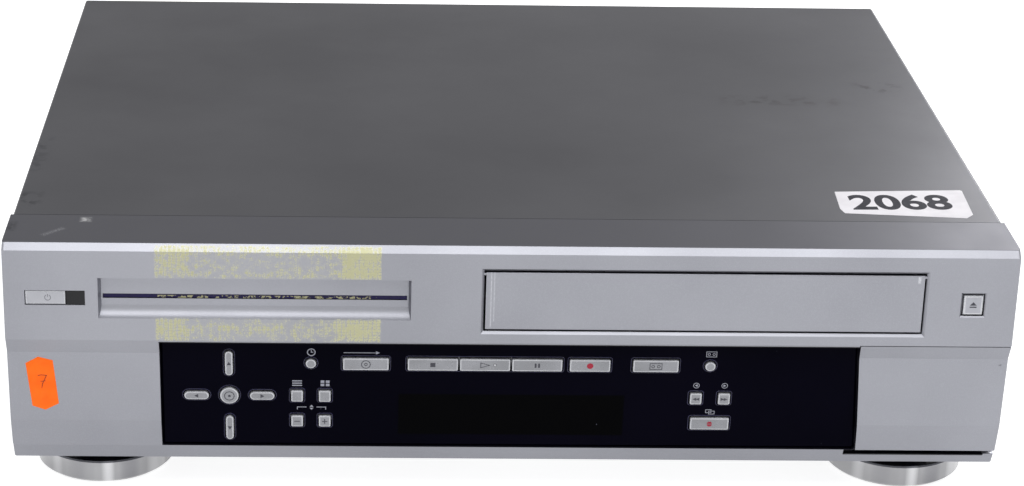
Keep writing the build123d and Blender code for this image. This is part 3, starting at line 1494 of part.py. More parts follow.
# Rear phono sockets and a round video socket on one block, with barrels that stand out of the panel
with BuildPart() as rear_phono_sockets:
    phono_top = svideo_height + svideo_radius + socket_margin
    with BuildSketch(front_plane(rear_inner_depth - phono_block_depth)):
        with Locations((phono_x, (board_top + bed_gap + phono_top) / 2)):
            Rectangle(2 * phono_pitch, phono_top - board_top - bed_gap)
    extrude(amount=-(phono_block_depth - bed_gap))
    with BuildSketch(front_plane(rear_inner_depth - bed_gap)):
        with Locations(*phono_places):
            Circle(phono_collar)
    extrude(amount=-(bed_gap + sheet + collar_proud))
    with BuildSketch(front_plane(rear_inner_depth - bed_gap)):
        with Locations(*phono_places):
            Circle(phono_radius)
    extrude(amount=-(bed_gap + 2 * sheet + rear_reach))
    with BuildSketch(front_plane(rear_inner_depth - bed_gap)):
        with Locations((phono_x, svideo_height)):
            Circle(svideo_radius)
    extrude(amount=-(bed_gap + 2 * sheet))
    with BuildSketch(front_plane(body_depth + rear_reach)):
        with Locations(*phono_places):
            Circle(phono_bore)
    extrude(amount=phono_length, mode=Mode.SUBTRACT)
    with BuildSketch(front_plane(body_depth)):
        with Locations((phono_x, svideo_height)):
            Circle(svideo_radius - svideo_shell)
            Circle(svideo_core, mode=Mode.SUBTRACT)
    extrude(amount=phono_length, mode=Mode.SUBTRACT)
finish(rear_phono_sockets, "rear_phono_sockets")

# Tuner can with the aerial input above and the looped-through output below
with BuildPart() as tuner:
    with BuildSketch(top_plane(board_top + bed_gap)):
        with Locations((tuner_x, rear_inner_depth - bed_gap - tuner_depth / 2)):
            Rectangle(tuner_width, tuner_depth)
    extrude(amount=tuner_tall)
    with BuildSketch(front_plane(rear_inner_depth - bed_gap)):
        with Locations((tuner_x, aerial_in_height)):
            Circle(aerial_radius + aerial_wall)
        with Locations((tuner_x, aerial_out_height)):
            Circle(aerial_radius)
    extrude(amount=-(bed_gap + 2 * sheet + rear_reach))
    with BuildSketch(front_plane(body_depth + rear_reach)):
        with Locations((tuner_x, aerial_in_height)):
            Circle(aerial_radius)
            Circle(aerial_core, mode=Mode.SUBTRACT)
            Circle(aerial_pin)
        with Locations((tuner_x, aerial_out_height)):
            Circle(aerial_radius - aerial_wall)
            Circle(aerial_pin, mode=Mode.SUBTRACT)
    extrude(amount=rear_reach, mode=Mode.SUBTRACT)
finish(tuner, "tuner")

# Hard disk: cast body with a stamped lid, side holes and a recess for the ribbon's plug
with BuildPart() as hard_disk:
    with BuildSketch(top_plane(drive_bottom)):
        with Locations((drive_x, drive_depth + drive_length / 2)):
            RectangleRounded(drive_width, drive_length, drive_corner)
    extrude(amount=drive_thickness - drive_lid)
    with BuildSketch(top_plane(drive_bottom + drive_thickness - drive_lid)):
        with Locations((drive_x, drive_depth + drive_length / 2)):
            RectangleRounded(drive_width - 2 * drive_corner, drive_length - 2 * drive_corner, 2 * drive_corner)
            with Locations((0, drive_length / 6)):
                Circle(drive_width / 8, mode=Mode.SUBTRACT)
    extrude(amount=drive_lid)
    with BuildSketch(front_plane(drive_back)):
        with Locations((ribbon_x, plug_height)):
            Rectangle(plug_width + 2 * seat_gap, plug_tall + 2 * seat_gap)
    extrude(amount=plug_depth, mode=Mode.SUBTRACT)
    with BuildSketch(Plane.YZ.offset(drive_x - drive_width / 2)):
        with Locations(*[(y_at(drive_depth + place), drive_bottom + drive_hole_height) for place in drive_holes]):
            Circle(drive_hole_radius)
    extrude(amount=drive_width, mode=Mode.SUBTRACT)
finish(hard_disk, "hard_disk")

# Bracket that carries the disk above the main board
with BuildPart() as disk_bracket:
    bracket_middle = drive_depth + drive_length / 2
    leg_half = drive_width / 2 + leg_reach
    with BuildSketch(top_plane(drive_bottom - bed_gap)):
        with Locations((drive_x, bracket_middle)):
            Rectangle(2 * leg_half, leg_length)
            Rectangle(drive_width / 2, leg_length / 2, mode=Mode.SUBTRACT)
    extrude(amount=-bracket_sheet)
    for side in (-1, 1):
        with BuildSketch(Plane.YZ.offset(drive_x + side * (leg_half - bracket_sheet))):
            with Locations((y_at(bracket_middle), (tray_top + drive_bottom - bed_gap) / 2)):
                Rectangle(leg_length, drive_bottom - bed_gap - tray_top)
                Rectangle(leg_length - 4 * leg_reach, drive_bottom - tray_top - 4 * leg_reach, mode=Mode.SUBTRACT)
        extrude(amount=side * bracket_sheet)
        with BuildSketch(top_plane(tray_top)):
            with Locations((drive_x + side * (leg_half + leg_reach / 2), bracket_middle)):
                Rectangle(leg_reach, leg_length)
        extrude(amount=bracket_sheet)
        with BuildSketch(Plane.YZ.offset(drive_x + side * (drive_width / 2 + seat_gap))):
            with Locations((y_at(bracket_middle), drive_bottom + leg_reach / 2)):
                Rectangle(leg_length, leg_reach + 2 * bed_gap)
        extrude(amount=side * bracket_sheet)
finish(disk_bracket, "disk_bracket")

# Ribbon: a plug at the disk, a flat cable that bends down and a plug on the main board's header
with BuildPart() as ribbon_cable:
    with BuildSketch(front_plane(drive_back - plug_depth + bed_gap)):
        with Locations((ribbon_x, plug_height)):
            Rectangle(plug_width, plug_tall)
    extrude(amount=-(plug_depth + plug_proud))
    with BuildSketch(Plane.YZ.offset(ribbon_x - ribbon_width / 2)):
        with BuildLine():
            Polyline(
                *side_points(
                    [
                        (drive_back + plug_proud / 2, plug_height + ribbon_thickness / 2),
                        (header_depth - ribbon_bend + ribbon_thickness / 2, plug_height + ribbon_thickness / 2),
                        (header_depth + ribbon_thickness / 2, plug_height - ribbon_bend),
                        (header_depth + ribbon_thickness / 2, header_top - plug_proud / 2),
                        (header_depth - ribbon_thickness / 2, header_top - plug_proud / 2),
                        (header_depth - ribbon_thickness / 2, plug_height - ribbon_bend - ribbon_thickness / 4),
                        (header_depth - ribbon_bend, plug_height - ribbon_thickness / 2),
                        (drive_back + plug_proud / 2, plug_height - ribbon_thickness / 2),
                    ]
                ),
                close=True,
            )
        make_face()
    extrude(amount=ribbon_width)
    with BuildSketch(top_plane(board_top + bed_gap)):
        with Locations((ribbon_x, header_depth)):
            Rectangle(plug_width, plug_tall)
    extrude(amount=header_top - board_top - bed_gap)
finish(ribbon_cable, "ribbon_cable")

# Fan frame: a square shell with a round duct and four struts that hold the motor
with BuildPart() as fan_frame:
    with BuildSketch(front_plane(fan_front)):
        with Locations((fan_x, fan_height)):
            RectangleRounded(fan_size, fan_size, fan_corner)
            Circle(fan_duct_radius, mode=Mode.SUBTRACT)
            with GridLocations(fan_hole_pitch, fan_hole_pitch, 2, 2):
                Circle(fan_screw_radius, mode=Mode.SUBTRACT)
    extrude(amount=-(fan_thickness - bed_gap))
    with BuildSketch(front_plane(fan_front)):
        with Locations((fan_x, fan_height)):
            Circle(fan_motor_radius)
            with PolarLocations(fan_duct_radius / 2, 4, start_angle=45):
                Rectangle(fan_duct_radius + 2 * fan_strut, fan_strut)
    extrude(amount=-fan_strut)
    with BuildSketch(front_plane(fan_front)):
        with Locations((fan_x, fan_height)):
            Circle(fan_shaft_radius)
    extrude(amount=-(fan_strut + fan_shaft))
finish(fan_frame, "fan_frame")

with BuildPart(front_plane(fan_front + fan_strut + 2 * seat_gap).offset(-fan_rotor_depth)) as fan_rotor:
    with Locations((fan_x, fan_height, fan_rotor_depth / 2)):
        Cylinder(fan_motor_radius, fan_rotor_depth)
        with PolarLocations((fan_motor_radius + fan_blade_radius) / 2 - sheet, fan_blades):
            Box(
                fan_blade_radius - fan_motor_radius,
                fan_blade_chord,
                fan_blade_sheet,
                rotation=(fan_blade_pitch, 0, 0),
            )
    with BuildSketch(front_plane(fan_front)):
        with Locations((fan_x, fan_height)):
            Circle(fan_shaft_radius + shaft_gap)
    extrude(amount=-(fan_strut + fan_shaft + seat_gap), mode=Mode.SUBTRACT)
finish(fan_rotor, "fan_rotor")

# Deck chassis: a plate on four posts, two upright brackets with slots, and the fixed shafts
with BuildPart() as deck_chassis:
    with BuildSketch(top_plane(deck_plate_top)):
        with Locations((deck_x, (holder_depth + deck_back) / 2)):
            Rectangle(2 * bracket_half, deck_back - holder_depth)
        for side in (-1, 1):
            with Locations((deck_x + side * (guide_x + guide_run_x / 2), guide_depth + guide_run_depth / 2)):
                SlotCenterToCenter(
                    guide_travel,
                    2 * (guide_peg_radius + slide_gap),
                    rotation=degrees(atan2(guide_run_depth, side * guide_run_x)),
                    mode=Mode.SUBTRACT,
                )
    extrude(amount=-deck_plate_thickness)
    with BuildSketch(top_plane(deck_plate_top)):
        with Locations(*deck_posts):
            Circle(deck_post_radius)
    extrude(amount=-(deck_plate_top - tray_top))
    for side in (-1, 1):
        with BuildSketch(Plane.YZ.offset(deck_x + side * bracket_inner)):
            with Locations((y_at((holder_depth + bracket_back) / 2), (deck_plate_top + bracket_top) / 2)):
                Rectangle(bracket_back - holder_depth, bracket_top - deck_plate_top)
            with Locations((y_at((holder_depth + bracket_back) / 2), carriage_bottom)):
                Rectangle(bracket_window_length, bracket_window_tall, mode=Mode.SUBTRACT)
            for pin_depth in carriage_pins:
                with Locations((y_at(pin_depth + holder_travel / 2), carriage_pin_height)):
                    SlotCenterToCenter(holder_travel, 2 * (deck_pin_radius + slide_gap), mode=Mode.SUBTRACT)
        extrude(amount=side * bracket_sheet)
    with BuildSketch(top_plane(deck_plate_top)):
        with Locations((deck_x - reel_spacing / 2, reel_depth), (deck_x + reel_spacing / 2, reel_depth)):
            Circle(reel_shaft_radius)
    extrude(amount=reel_shaft_rise)
    with BuildSketch(top_plane(deck_plate_top)):
        with Locations((deck_x + arm_pivot_x, arm_pivot_depth)):
            Circle(arm_pivot_radius)
    extrude(amount=arm_pivot_rise)
    with BuildSketch(top_plane(capstan_boss_bottom)):
        with Locations((deck_x + capstan_x, capstan_depth)):
            Circle(capstan_boss_radius)
    extrude(amount=capstan_boss_top - capstan_boss_bottom)
    with BuildSketch(top_plane(capstan_boss_bottom)):
        with Locations((deck_x + capstan_x, capstan_depth)):
            Circle(capstan_radius + shaft_gap)
    extrude(amount=capstan_boss_top - capstan_boss_bottom, mode=Mode.SUBTRACT)
finish(deck_chassis, "deck_chassis")

# Head drum: a fixed lower half on a pedestal and a spinning upper half, both on a tilted axis
drum_plane = Plane(
    origin=(deck_x, y_at(drum_depth), deck_plate_top + drum_base_rise),
    x_dir=(1, 0, 0),
    z_dir=(0, -sin(drum_lean), cos(drum_lean)),
)
with BuildPart() as drum_base:
    with BuildSketch(top_plane(deck_plate_top)):
        with Locations((deck_x, drum_depth)):
            Circle(drum_pedestal_radius)
    extrude(amount=drum_base_rise + drum_base_tall / 4)
    with BuildSketch(drum_plane):
        Circle(drum_radius)
    extrude(amount=drum_base_tall)
    with BuildSketch(drum_plane.offset(drum_base_tall)):
        Circle(drum_axle_radius + shaft_gap)
    extrude(amount=-(drum_axle + seat_gap), mode=Mode.SUBTRACT)
finish(drum_base, "drum_base")

with BuildPart() as drum_rotor:
    with BuildSketch(drum_plane.offset(drum_base_tall + seat_gap)):
        Circle(drum_radius)
        with PolarLocations(drum_radius, 2):
            Rectangle(2 * drum_notch, 2 * drum_notch, mode=Mode.SUBTRACT)
    extrude(amount=drum_notch)
    with BuildSketch(drum_plane.offset(drum_base_tall + seat_gap + drum_notch)):
        Circle(drum_radius)
    extrude(amount=drum_rotor_tall - drum_notch)
    with BuildSketch(drum_plane.offset(drum_base_tall + seat_gap + drum_rotor_tall)):
        Circle(drum_radius - drum_notch)
        Circle(drum_hub_radius, mode=Mode.SUBTRACT)
    extrude(amount=-drum_notch, mode=Mode.SUBTRACT)
    with BuildSketch(drum_plane.offset(drum_base_tall - drum_axle)):
        Circle(drum_axle_radius)
    extrude(amount=drum_axle + drum_notch)
finish(drum_rotor, "drum_rotor")

# Capstan: a thin shaft in the plate's bearing with a flywheel under the plate
with BuildPart() as capstan:
    with BuildSketch(top_plane(flywheel_bottom)):
        with Locations((deck_x + capstan_x, capstan_depth)):
            Circle(capstan_radius)
    extrude(amount=deck_plate_top + capstan_rise - flywheel_bottom)
    with BuildSketch(top_plane(flywheel_bottom)):
        with Locations((deck_x + capstan_x, capstan_depth)):
            Circle(flywheel_radius)
    extrude(amount=flywheel_tall)
finish(capstan, "capstan")

# Pinch arm: a sleeve on its pivot, a flat arm and a rubber roller that meets the capstan
arm_angle = radians(arm_rest_angle)
roller_place = (
    deck_x + arm_pivot_x + arm_length * cos(arm_angle),
    arm_pivot_depth + arm_length * sin(arm_angle),
)
with BuildPart() as pinch_arm:
    with BuildSketch(top_plane(arm_height)):
        with Locations(
            (
                deck_x + arm_pivot_x + arm_length * cos(arm_angle) / 2,
                arm_pivot_depth + arm_length * sin(arm_angle) / 2,
            )
        ):
            SlotCenterToCenter(arm_length, arm_width - sheet, rotation=arm_rest_angle)
    extrude(amount=arm_sheet)
    with BuildSketch(top_plane(deck_plate_top + seat_gap)):
        with Locations((deck_x + arm_pivot_x, arm_pivot_depth)):
            Circle(arm_width / 2)
    extrude(amount=arm_height + arm_sheet / 2 - deck_plate_top - seat_gap)
    with BuildSketch(top_plane(roller_bottom)):
        with Locations(roller_place):
            Circle(roller_radius)
    extrude(amount=roller_tall)
    with BuildSketch(top_plane(roller_bottom)):
        with Locations(roller_place):
            Circle(roller_pin_radius)
    extrude(amount=arm_height + 2 * arm_sheet - roller_bottom)
    with BuildSketch(top_plane(deck_plate_top)):
        with Locations((deck_x + arm_pivot_x, arm_pivot_depth)):
            Circle(arm_pivot_radius + shaft_gap)
    extrude(amount=arm_height, mode=Mode.SUBTRACT)
finish(pinch_arm, "pinch_arm")

# Reels: a table, a hub and a ribbed spindle that turns in the cassette
for reel_name, side in (("supply_reel", -1), ("take_up_reel", 1)):
    reel_place = (deck_x + side * reel_spacing / 2, reel_depth)
    with BuildPart() as reel:
        with BuildSketch(top_plane(deck_plate_top + seat_gap)):
            with Locations(reel_place):
                Circle(reel_radius)
        extrude(amount=reel_table)
        with BuildSketch(top_plane(deck_plate_top + seat_gap)):
            with Locations(reel_place):
                Circle(reel_hub_radius)
        extrude(amount=reel_hub_top - deck_plate_top - seat_gap)
        with BuildSketch(top_plane(reel_hub_top)):
            with Locations(reel_place):
                Circle(spindle_radius)
                Rectangle(3 * spindle_radius, spindle_rib)
                Rectangle(3 * spindle_radius, spindle_rib, rotation=60)
                Rectangle(3 * spindle_radius, spindle_rib, rotation=120)
        extrude(amount=spindle_rise - reel_hub_rise)
        with BuildSketch(top_plane(deck_plate_top)):
            with Locations(reel_place):
                Circle(reel_shaft_radius + shaft_gap)
        extrude(amount=reel_shaft_rise + seat_gap, mode=Mode.SUBTRACT)
    finish(reel, reel_name)

# Threading guides: a sliding shoe with a peg in the plate's slot and a flanged post for the tape
for guide_name, side in (("supply_guide", -1), ("take_up_guide", 1)):
    guide_place = (deck_x + side * guide_x, guide_depth)
    with BuildPart() as guide:
        with BuildSketch(top_plane(deck_plate_top + seat_gap)):
            with Locations(guide_place):
                RectangleRounded(guide_shoe_width, guide_shoe_length, guide_peg_radius)
        extrude(amount=guide_shoe_tall)
        with BuildSketch(top_plane(deck_plate_top + seat_gap)):
            with Locations(guide_place):
                Circle(guide_peg_radius)
        extrude(amount=-(deck_plate_thickness + guide_peg_radius))
        guide_base = deck_plate_top + seat_gap + guide_shoe_tall
        with BuildSketch(top_plane(guide_base)):
            with Locations(guide_place):
                Circle(guide_post_radius)
        extrude(amount=guide_top - guide_base)
        for flange in (guide_base, guide_top - guide_flange):
            with BuildSketch(top_plane(flange)):
                with Locations(guide_place):
                    Circle(guide_post_radius + guide_flange)
            extrude(amount=guide_flange)
    finish(guide, guide_name)

# Carriage: two side plates and a crossbar that slide back on pins in the brackets
with BuildPart() as cassette_carriage:
    for side in (-1, 1):
        with BuildSketch(Plane.YZ.offset(deck_x + side * carriage_inner)):
            with Locations((y_at((holder_depth + carriage_back) / 2), (carriage_bottom + carriage_top) / 2)):
                Rectangle(carriage_back - holder_depth, carriage_top - carriage_bottom)
            for pin_depth in holder_pins:
                with Locations((y_at(pin_depth), holder_pin_height - holder_drop / 2)):
                    SlotCenterToCenter(
                        holder_drop, 2 * (deck_pin_radius + slide_gap), rotation=90, mode=Mode.SUBTRACT
                    )
        extrude(amount=side * bracket_sheet)
        with BuildSketch(Plane.YZ.offset(deck_x + side * carriage_half)):
            with Locations(*[(y_at(pin_depth), carriage_pin_height) for pin_depth in carriage_pins]):
                Circle(deck_pin_radius)
        extrude(amount=side * (bracket_gap + 1.5 * bracket_sheet))
    with BuildSketch(top_plane(carriage_top)):
        with Locations((deck_x, carriage_back - crossbar / 2)):
            Rectangle(2 * carriage_half, crossbar)
    extrude(amount=-bracket_sheet)
finish(cassette_carriage, "cassette_carriage")

# Holder: an open sheet-metal box that takes the cassette and drops it onto the spindles
with BuildPart() as cassette_holder:
    holder_top = cassette_floor + cassette_thickness + cassette_gap + holder_sheet
    with BuildSketch(front_plane(holder_depth)):
        with Locations((deck_x, (cassette_floor - holder_sheet + holder_top) / 2)):
            Rectangle(2 * holder_half, holder_top - cassette_floor + holder_sheet)
        with Locations((deck_x, (cassette_floor + holder_top - holder_sheet) / 2)):
            Rectangle(opening_width, holder_top - holder_sheet - cassette_floor, mode=Mode.SUBTRACT)
        with Locations((deck_x, cassette_floor - holder_sheet / 2)):
            Rectangle(opening_width - 2 * holder_flange, holder_sheet, mode=Mode.SUBTRACT)
    extrude(amount=-holder_length)
    with BuildSketch(top_plane(holder_top)):
        for side in (-1, 1):
            with Locations((deck_x + side * reel_spacing / 2, holder_depth + holder_length / 2)):
                Rectangle(reel_spacing / 2, holder_length / 2)
    extrude(amount=-holder_sheet, mode=Mode.SUBTRACT)
    with BuildSketch(front_plane(holder_depth + holder_length - holder_sheet)):
        for side in (-1, 1):
            with Locations((deck_x + side * (holder_half - holder_flange / 2), (cassette_floor + holder_top) / 2)):
                Rectangle(holder_flange, holder_top - cassette_floor)
    extrude(amount=-holder_sheet)
    for side in (-1, 1):
        with BuildSketch(Plane.YZ.offset(deck_x + side * holder_half)):
            with Locations(*[(y_at(pin_depth), holder_pin_height) for pin_depth in holder_pins]):
                Circle(deck_pin_radius)
        extrude(amount=side * (holder_gap + bracket_sheet + bracket_gap / 2))
finish(cassette_holder, "cassette_holder")
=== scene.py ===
from math import cos, hypot, pi, radians, sin

import bpy
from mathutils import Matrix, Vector


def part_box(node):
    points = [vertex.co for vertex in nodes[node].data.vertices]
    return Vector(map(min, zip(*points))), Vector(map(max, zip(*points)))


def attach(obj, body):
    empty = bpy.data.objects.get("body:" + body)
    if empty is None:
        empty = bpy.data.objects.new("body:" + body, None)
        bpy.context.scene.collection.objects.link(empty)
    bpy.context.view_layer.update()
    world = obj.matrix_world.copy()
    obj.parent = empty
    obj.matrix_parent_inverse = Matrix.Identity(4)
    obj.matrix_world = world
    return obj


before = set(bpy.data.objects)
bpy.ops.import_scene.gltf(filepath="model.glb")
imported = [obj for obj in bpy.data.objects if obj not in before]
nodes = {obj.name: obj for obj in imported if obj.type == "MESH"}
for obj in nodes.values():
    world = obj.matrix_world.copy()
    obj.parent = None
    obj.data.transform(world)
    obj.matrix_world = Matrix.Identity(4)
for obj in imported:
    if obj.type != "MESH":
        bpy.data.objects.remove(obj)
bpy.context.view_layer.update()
scene = bpy.context.scene

# Camera, floor and light.
# The camera stands in front, a little to the left, and looks down through a long lens.
# A wide soft lamp hangs above the front, a smaller one stands behind the right end, and the room is pale.
camera_data = bpy.data.cameras.new("camera")
camera_data.lens = 91.36
camera_data.sensor_width = 36.0
camera_data.shift_x = 0.09035
camera_data.shift_y = -0.04059
camera_data.clip_end = 50.0
camera = bpy.data.objects.new("camera", camera_data)
camera.location = (-0.06679, -1.19846, 0.54687)
camera.rotation_euler = (radians(68.4913), radians(-0.9765), radians(-1.0907))
scene.collection.objects.link(camera)
scene.camera = camera
scene.view_settings.view_transform = "Standard"


def linear(code):
    """Linear colour of an sRGB hex code."""
    parts = [int(code[i : i + 2], 16) / 255 for i in (1, 3, 5)]
    return [p / 12.92 if p <= 0.04045 else ((p + 0.055) / 1.055) ** 2.4 for p in parts] + [1.0]


def add(tree, kind, settings=None, **links):
    """Add a node with its own settings. Links fill inputs by name, or by number as i0."""
    item = tree.nodes.new(kind)
    for key, value in (settings or {}).items():
        setattr(item, key, value)
    for key, value in links.items():
        numbered = key[0] == "i" and key[1:].isdigit()
        socket = item.inputs[int(key[1:]) if numbered else key.replace("_", " ")]
        if isinstance(value, bpy.types.NodeSocket):
            tree.links.new(value, socket)
        else:
            socket.default_value = value
    return item


def seen_directly(tree):
    """A mask that is 1 for what the camera sees, straight or in gloss or glass."""
    rays = add(tree, "ShaderNodeLightPath").outputs
    seen = rays["Is Camera Ray"]
    for kind in ("Is Glossy Ray", "Is Transmission Ray"):
        seen = add(tree, "ShaderNodeMath", {"operation": "MAXIMUM"}, i0=seen, i1=rays[kind]).outputs[0]
    return seen


room = bpy.data.worlds.new("room")
room.use_nodes = True
tree = room.node_tree
tree.nodes.clear()
lit = add(tree, "ShaderNodeBackground", Color=linear("#ECEDF0"), Strength=0.62)
white = add(tree, "ShaderNodeBackground", Color=(1.0, 1.0, 1.0, 1.0), Strength=1.0)
mixed = add(tree, "ShaderNodeMixShader", i0=seen_directly(tree), i1=lit.outputs[0], i2=white.outputs[0])
add(tree, "ShaderNodeOutputWorld", Surface=mixed.outputs[0])
scene.world = room

aim = Vector((0, 0, 0.06))
for name, place, size, power in (
    ("lamp_above", (-0.05, -0.95, 2.5), 2.4, 34.0),
    ("lamp_behind", (1.15, 1.9, 1.1), 0.9, 30.0),
):
    lamp_data = bpy.data.lights.new(name, "AREA")
    lamp_data.shape = "DISK"
    lamp_data.size = size
    lamp_data.energy = power
    lamp = bpy.data.objects.new(name, lamp_data)
    lamp.location = place
    lamp.rotation_euler = (aim - Vector(place)).to_track_quat("-Z", "Y").to_euler()
    scene.collection.objects.link(lamp)

floor_mesh = bpy.data.meshes.new("floor")
floor_mesh.from_pydata([(-8, -6, 0), (8, -6, 0), (8, 10, 0), (-8, 10, 0)], [], [(0, 1, 2, 3)])
floor = bpy.data.objects.new("floor", floor_mesh)
scene.collection.objects.link(floor)
paper = bpy.data.materials.new("white_paper_floor")
paper.use_nodes = True
tree = paper.node_tree
tree.nodes.clear()
bounced = add(tree, "ShaderNodeBsdfDiffuse", Color=linear("#B4B4B4"))
matt = add(tree, "ShaderNodeBsdfDiffuse", Color=linear("#C8C8C8"))
glow = add(tree, "ShaderNodeEmission", Color=(1.0, 1.0, 1.0, 1.0), Strength=0.84)
pale = add(tree, "ShaderNodeAddShader", i0=matt.outputs[0], i1=glow.outputs[0])
mixed = add(tree, "ShaderNodeMixShader", i0=seen_directly(tree), i1=bounced.outputs[0], i2=pale.outputs[0])
add(tree, "ShaderNodeOutputMaterial", Surface=mixed.outputs[0])
floor_mesh.materials.append(paper)

# Front panel: one injection moulding of ABS, sprayed outside with a satin silver paint.
# The ledge on top is painted as dark as the cover, as painted shade, and the walls inside its openings are
# painted dark as shade.
# Glue of a woven tape has stayed in small squares above and below the slot.
front = -0.1795
panel_top = 0.124
beyond = 0.3  # farther out than any part of the case


def finish(name, tones, patch=30.0, grain=0.5, relief=0.02, rough=(0.35, 0.45), metallic=0.0, **sockets):
    """One surface finish, in mm. Two tones wander in patches, the sheen with them, over a fine grain."""
    material = bpy.data.materials.new(name)
    material.use_nodes = True
    tree = material.node_tree
    tree.nodes.clear()
    shader = add(tree, "ShaderNodeBsdfPrincipled", Metallic=metallic, **sockets)
    add(tree, "ShaderNodeOutputMaterial", Surface=shader.outputs[0])
    place = add(tree, "ShaderNodeTexCoord").outputs["Object"]
    clouds = add(tree, "ShaderNodeTexNoise", Vector=place, Scale=1000 / patch, Detail=4.0)
    ramp = add(tree, "ShaderNodeValToRGB", Fac=clouds.outputs[0])
    ramp.color_ramp.elements[0].position = 0.35
    ramp.color_ramp.elements[0].color = linear(tones[0])
    ramp.color_ramp.elements[1].position = 0.65
    ramp.color_ramp.elements[1].color = linear(tones[1])
    tree.links.new(ramp.outputs[0], shader.inputs["Base Color"])
    rubbed = add(tree, "ShaderNodeTexNoise", Vector=place, Scale=3000 / patch, Detail=5.0)
    sheen = add(tree, "ShaderNodeMapRange", i0=rubbed.outputs[0], i1=0.3, i2=0.7, i3=rough[0], i4=rough[1])
    tree.links.new(sheen.outputs[0], shader.inputs["Roughness"])
    grit = add(tree, "ShaderNodeTexNoise", Vector=place, Scale=1000 / grain, Detail=2.0)
    bump = add(tree, "ShaderNodeBump", Height=grit.outputs[0], Strength=0.6, Distance=relief / 1000)
    tree.links.new(bump.outputs[0], shader.inputs["Normal"])
    return material, tree, shader, place


def spot(tree, place, low, high, blur=0.00004):
    """A mask that is 1 inside the box between two corners."""
    middle = [(a + b) / 2 for a, b in zip(low, high)]
    half = [(b - a) / 2 for a, b in zip(low, high)]
    away = add(tree, "ShaderNodeVectorMath", {"operation": "SUBTRACT"}, i0=place, i1=middle)
    away = add(tree, "ShaderNodeVectorMath", {"operation": "ABSOLUTE"}, i0=away.outputs[0])
    away = add(tree, "ShaderNodeVectorMath", {"operation": "SUBTRACT"}, i0=away.outputs[0], i1=half)
    x, y, z = add(tree, "ShaderNodeSeparateXYZ", Vector=away.outputs[0]).outputs[:3]
    worst = add(tree, "ShaderNodeMath", {"operation": "MAXIMUM"}, i0=x, i1=y)
    worst = add(tree, "ShaderNodeMath", {"operation": "MAXIMUM"}, i0=worst.outputs[0], i1=z)
    return add(tree, "ShaderNodeMapRange", i0=worst.outputs[0], i1=-blur, i2=blur, i3=1.0, i4=0.0).outputs[0]


def paint_over(tree, shader, masks, colour, metal=None):
    """Lay one more coat where every mask is 1, and take its metal away or give it."""
    mask, *others = masks if isinstance(masks, tuple) else (masks,)
    for other in others:
        mask = add(tree, "ShaderNodeMath", {"operation": "MULTIPLY"}, i0=mask, i1=other).outputs[0]
    for key, top in (("Base Color", colour), ("Metallic", metal)):
        if top is None:
            continue
        socket = shader.inputs[key]
        under = socket.links[0].from_socket if socket.links else socket.default_value
        if key == "Base Color":
            coat = add(tree, "ShaderNodeMix", {"data_type": "RGBA"}, i0=mask, i6=under, i7=top).outputs[2]
        else:
            coat = add(tree, "ShaderNodeMix", i0=mask, i2=under, i3=top).outputs[0]
        tree.links.new(coat, socket)


def dress(material, *names):
    """Give CAD nodes this material."""
    for name in names:
        nodes[name].data.materials.clear()
        nodes[name].data.materials.append(material)


def silver_coat(name):
    """The panel's silver paint, with flakes of aluminium drawn at 0.4 mm so that they show as lighter specks,
    a painted glint.
    """
    material, tree, shader, place = finish(
        name, ("#999AA1", "#A4A5AC"), patch=110.0, grain=0.6, relief=0.003, rough=(0.32, 0.40), metallic=0.6,
        Specular_IOR_Level=0.3, Specular_Tint=linear("#B8B8BA"),
    )
    flakes = add(tree, "ShaderNodeTexNoise", Vector=place, Scale=2500.0, Detail=1.0)
    # Painted glint: lighter specks where the flakes lie.
    flake_painted_glint = add(tree, "ShaderNodeMapRange", i0=flakes.outputs[0], i1=0.45, i2=0.75, i3=0.0, i4=0.10)
    paint_over(tree, shader, flake_painted_glint.outputs[0], linear("#D4D6DE"))
    return material, tree, shader, place


material, tree, shader, place = silver_coat("satin_silver_paint_on_ABS_panel")
# Painted shade: the top face of the ledge is darkened to the cover's tone.
ledge = spot(tree, place, (-beyond, -beyond, panel_top - 0.0001), (beyond, beyond, panel_top + 0.001))
paint_over(tree, shader, ledge, linear("#4E4E53"))

# Wear of the ledge: a scuff, a dark score at its left end and a slanted streak
flecks = add(tree, "ShaderNodeTexNoise", Vector=place, Scale=650.0, Detail=5.0, Roughness=0.8)
flecks = add(tree, "ShaderNodeMapRange", i0=flecks.outputs[0], i1=0.38, i2=0.60)
for low, high, colour in (
    ((-0.1858, -0.1522, 0.12), (-0.1828, -0.1486, 0.13), "#D0D0D0"),
    ((-0.2175, -0.1640, 0.12), (-0.2140, -0.1540, 0.13), "#2B2B30"),
):
    paint_over(tree, shader, (spot(tree, place, low, high, 0.0015), flecks.outputs[0]), linear(colour))
chipped = add(
    tree, "ShaderNodeMapping", Vector=place, Rotation=(0.0, 0.0, -0.7), Scale=(300.0, 1200.0, 300.0)
)
chipped = add(tree, "ShaderNodeTexNoise", Vector=chipped.outputs[0], Detail=4.0)
chipped = add(tree, "ShaderNodeMapRange", i0=chipped.outputs[0], i1=0.50, i2=0.60)
slanted = add(tree, "ShaderNodeMapping", Vector=place, Rotation=(0.0, 0.0, -pi / 4)).outputs[0]
streak = spot(tree, slanted, (-0.2612, 0.0220, 0.12), (-0.2500, 0.0240, 0.13), 0.0009)
paint_over(tree, shader, (streak, chipped.outputs[0]), linear("#9C9CA0"))
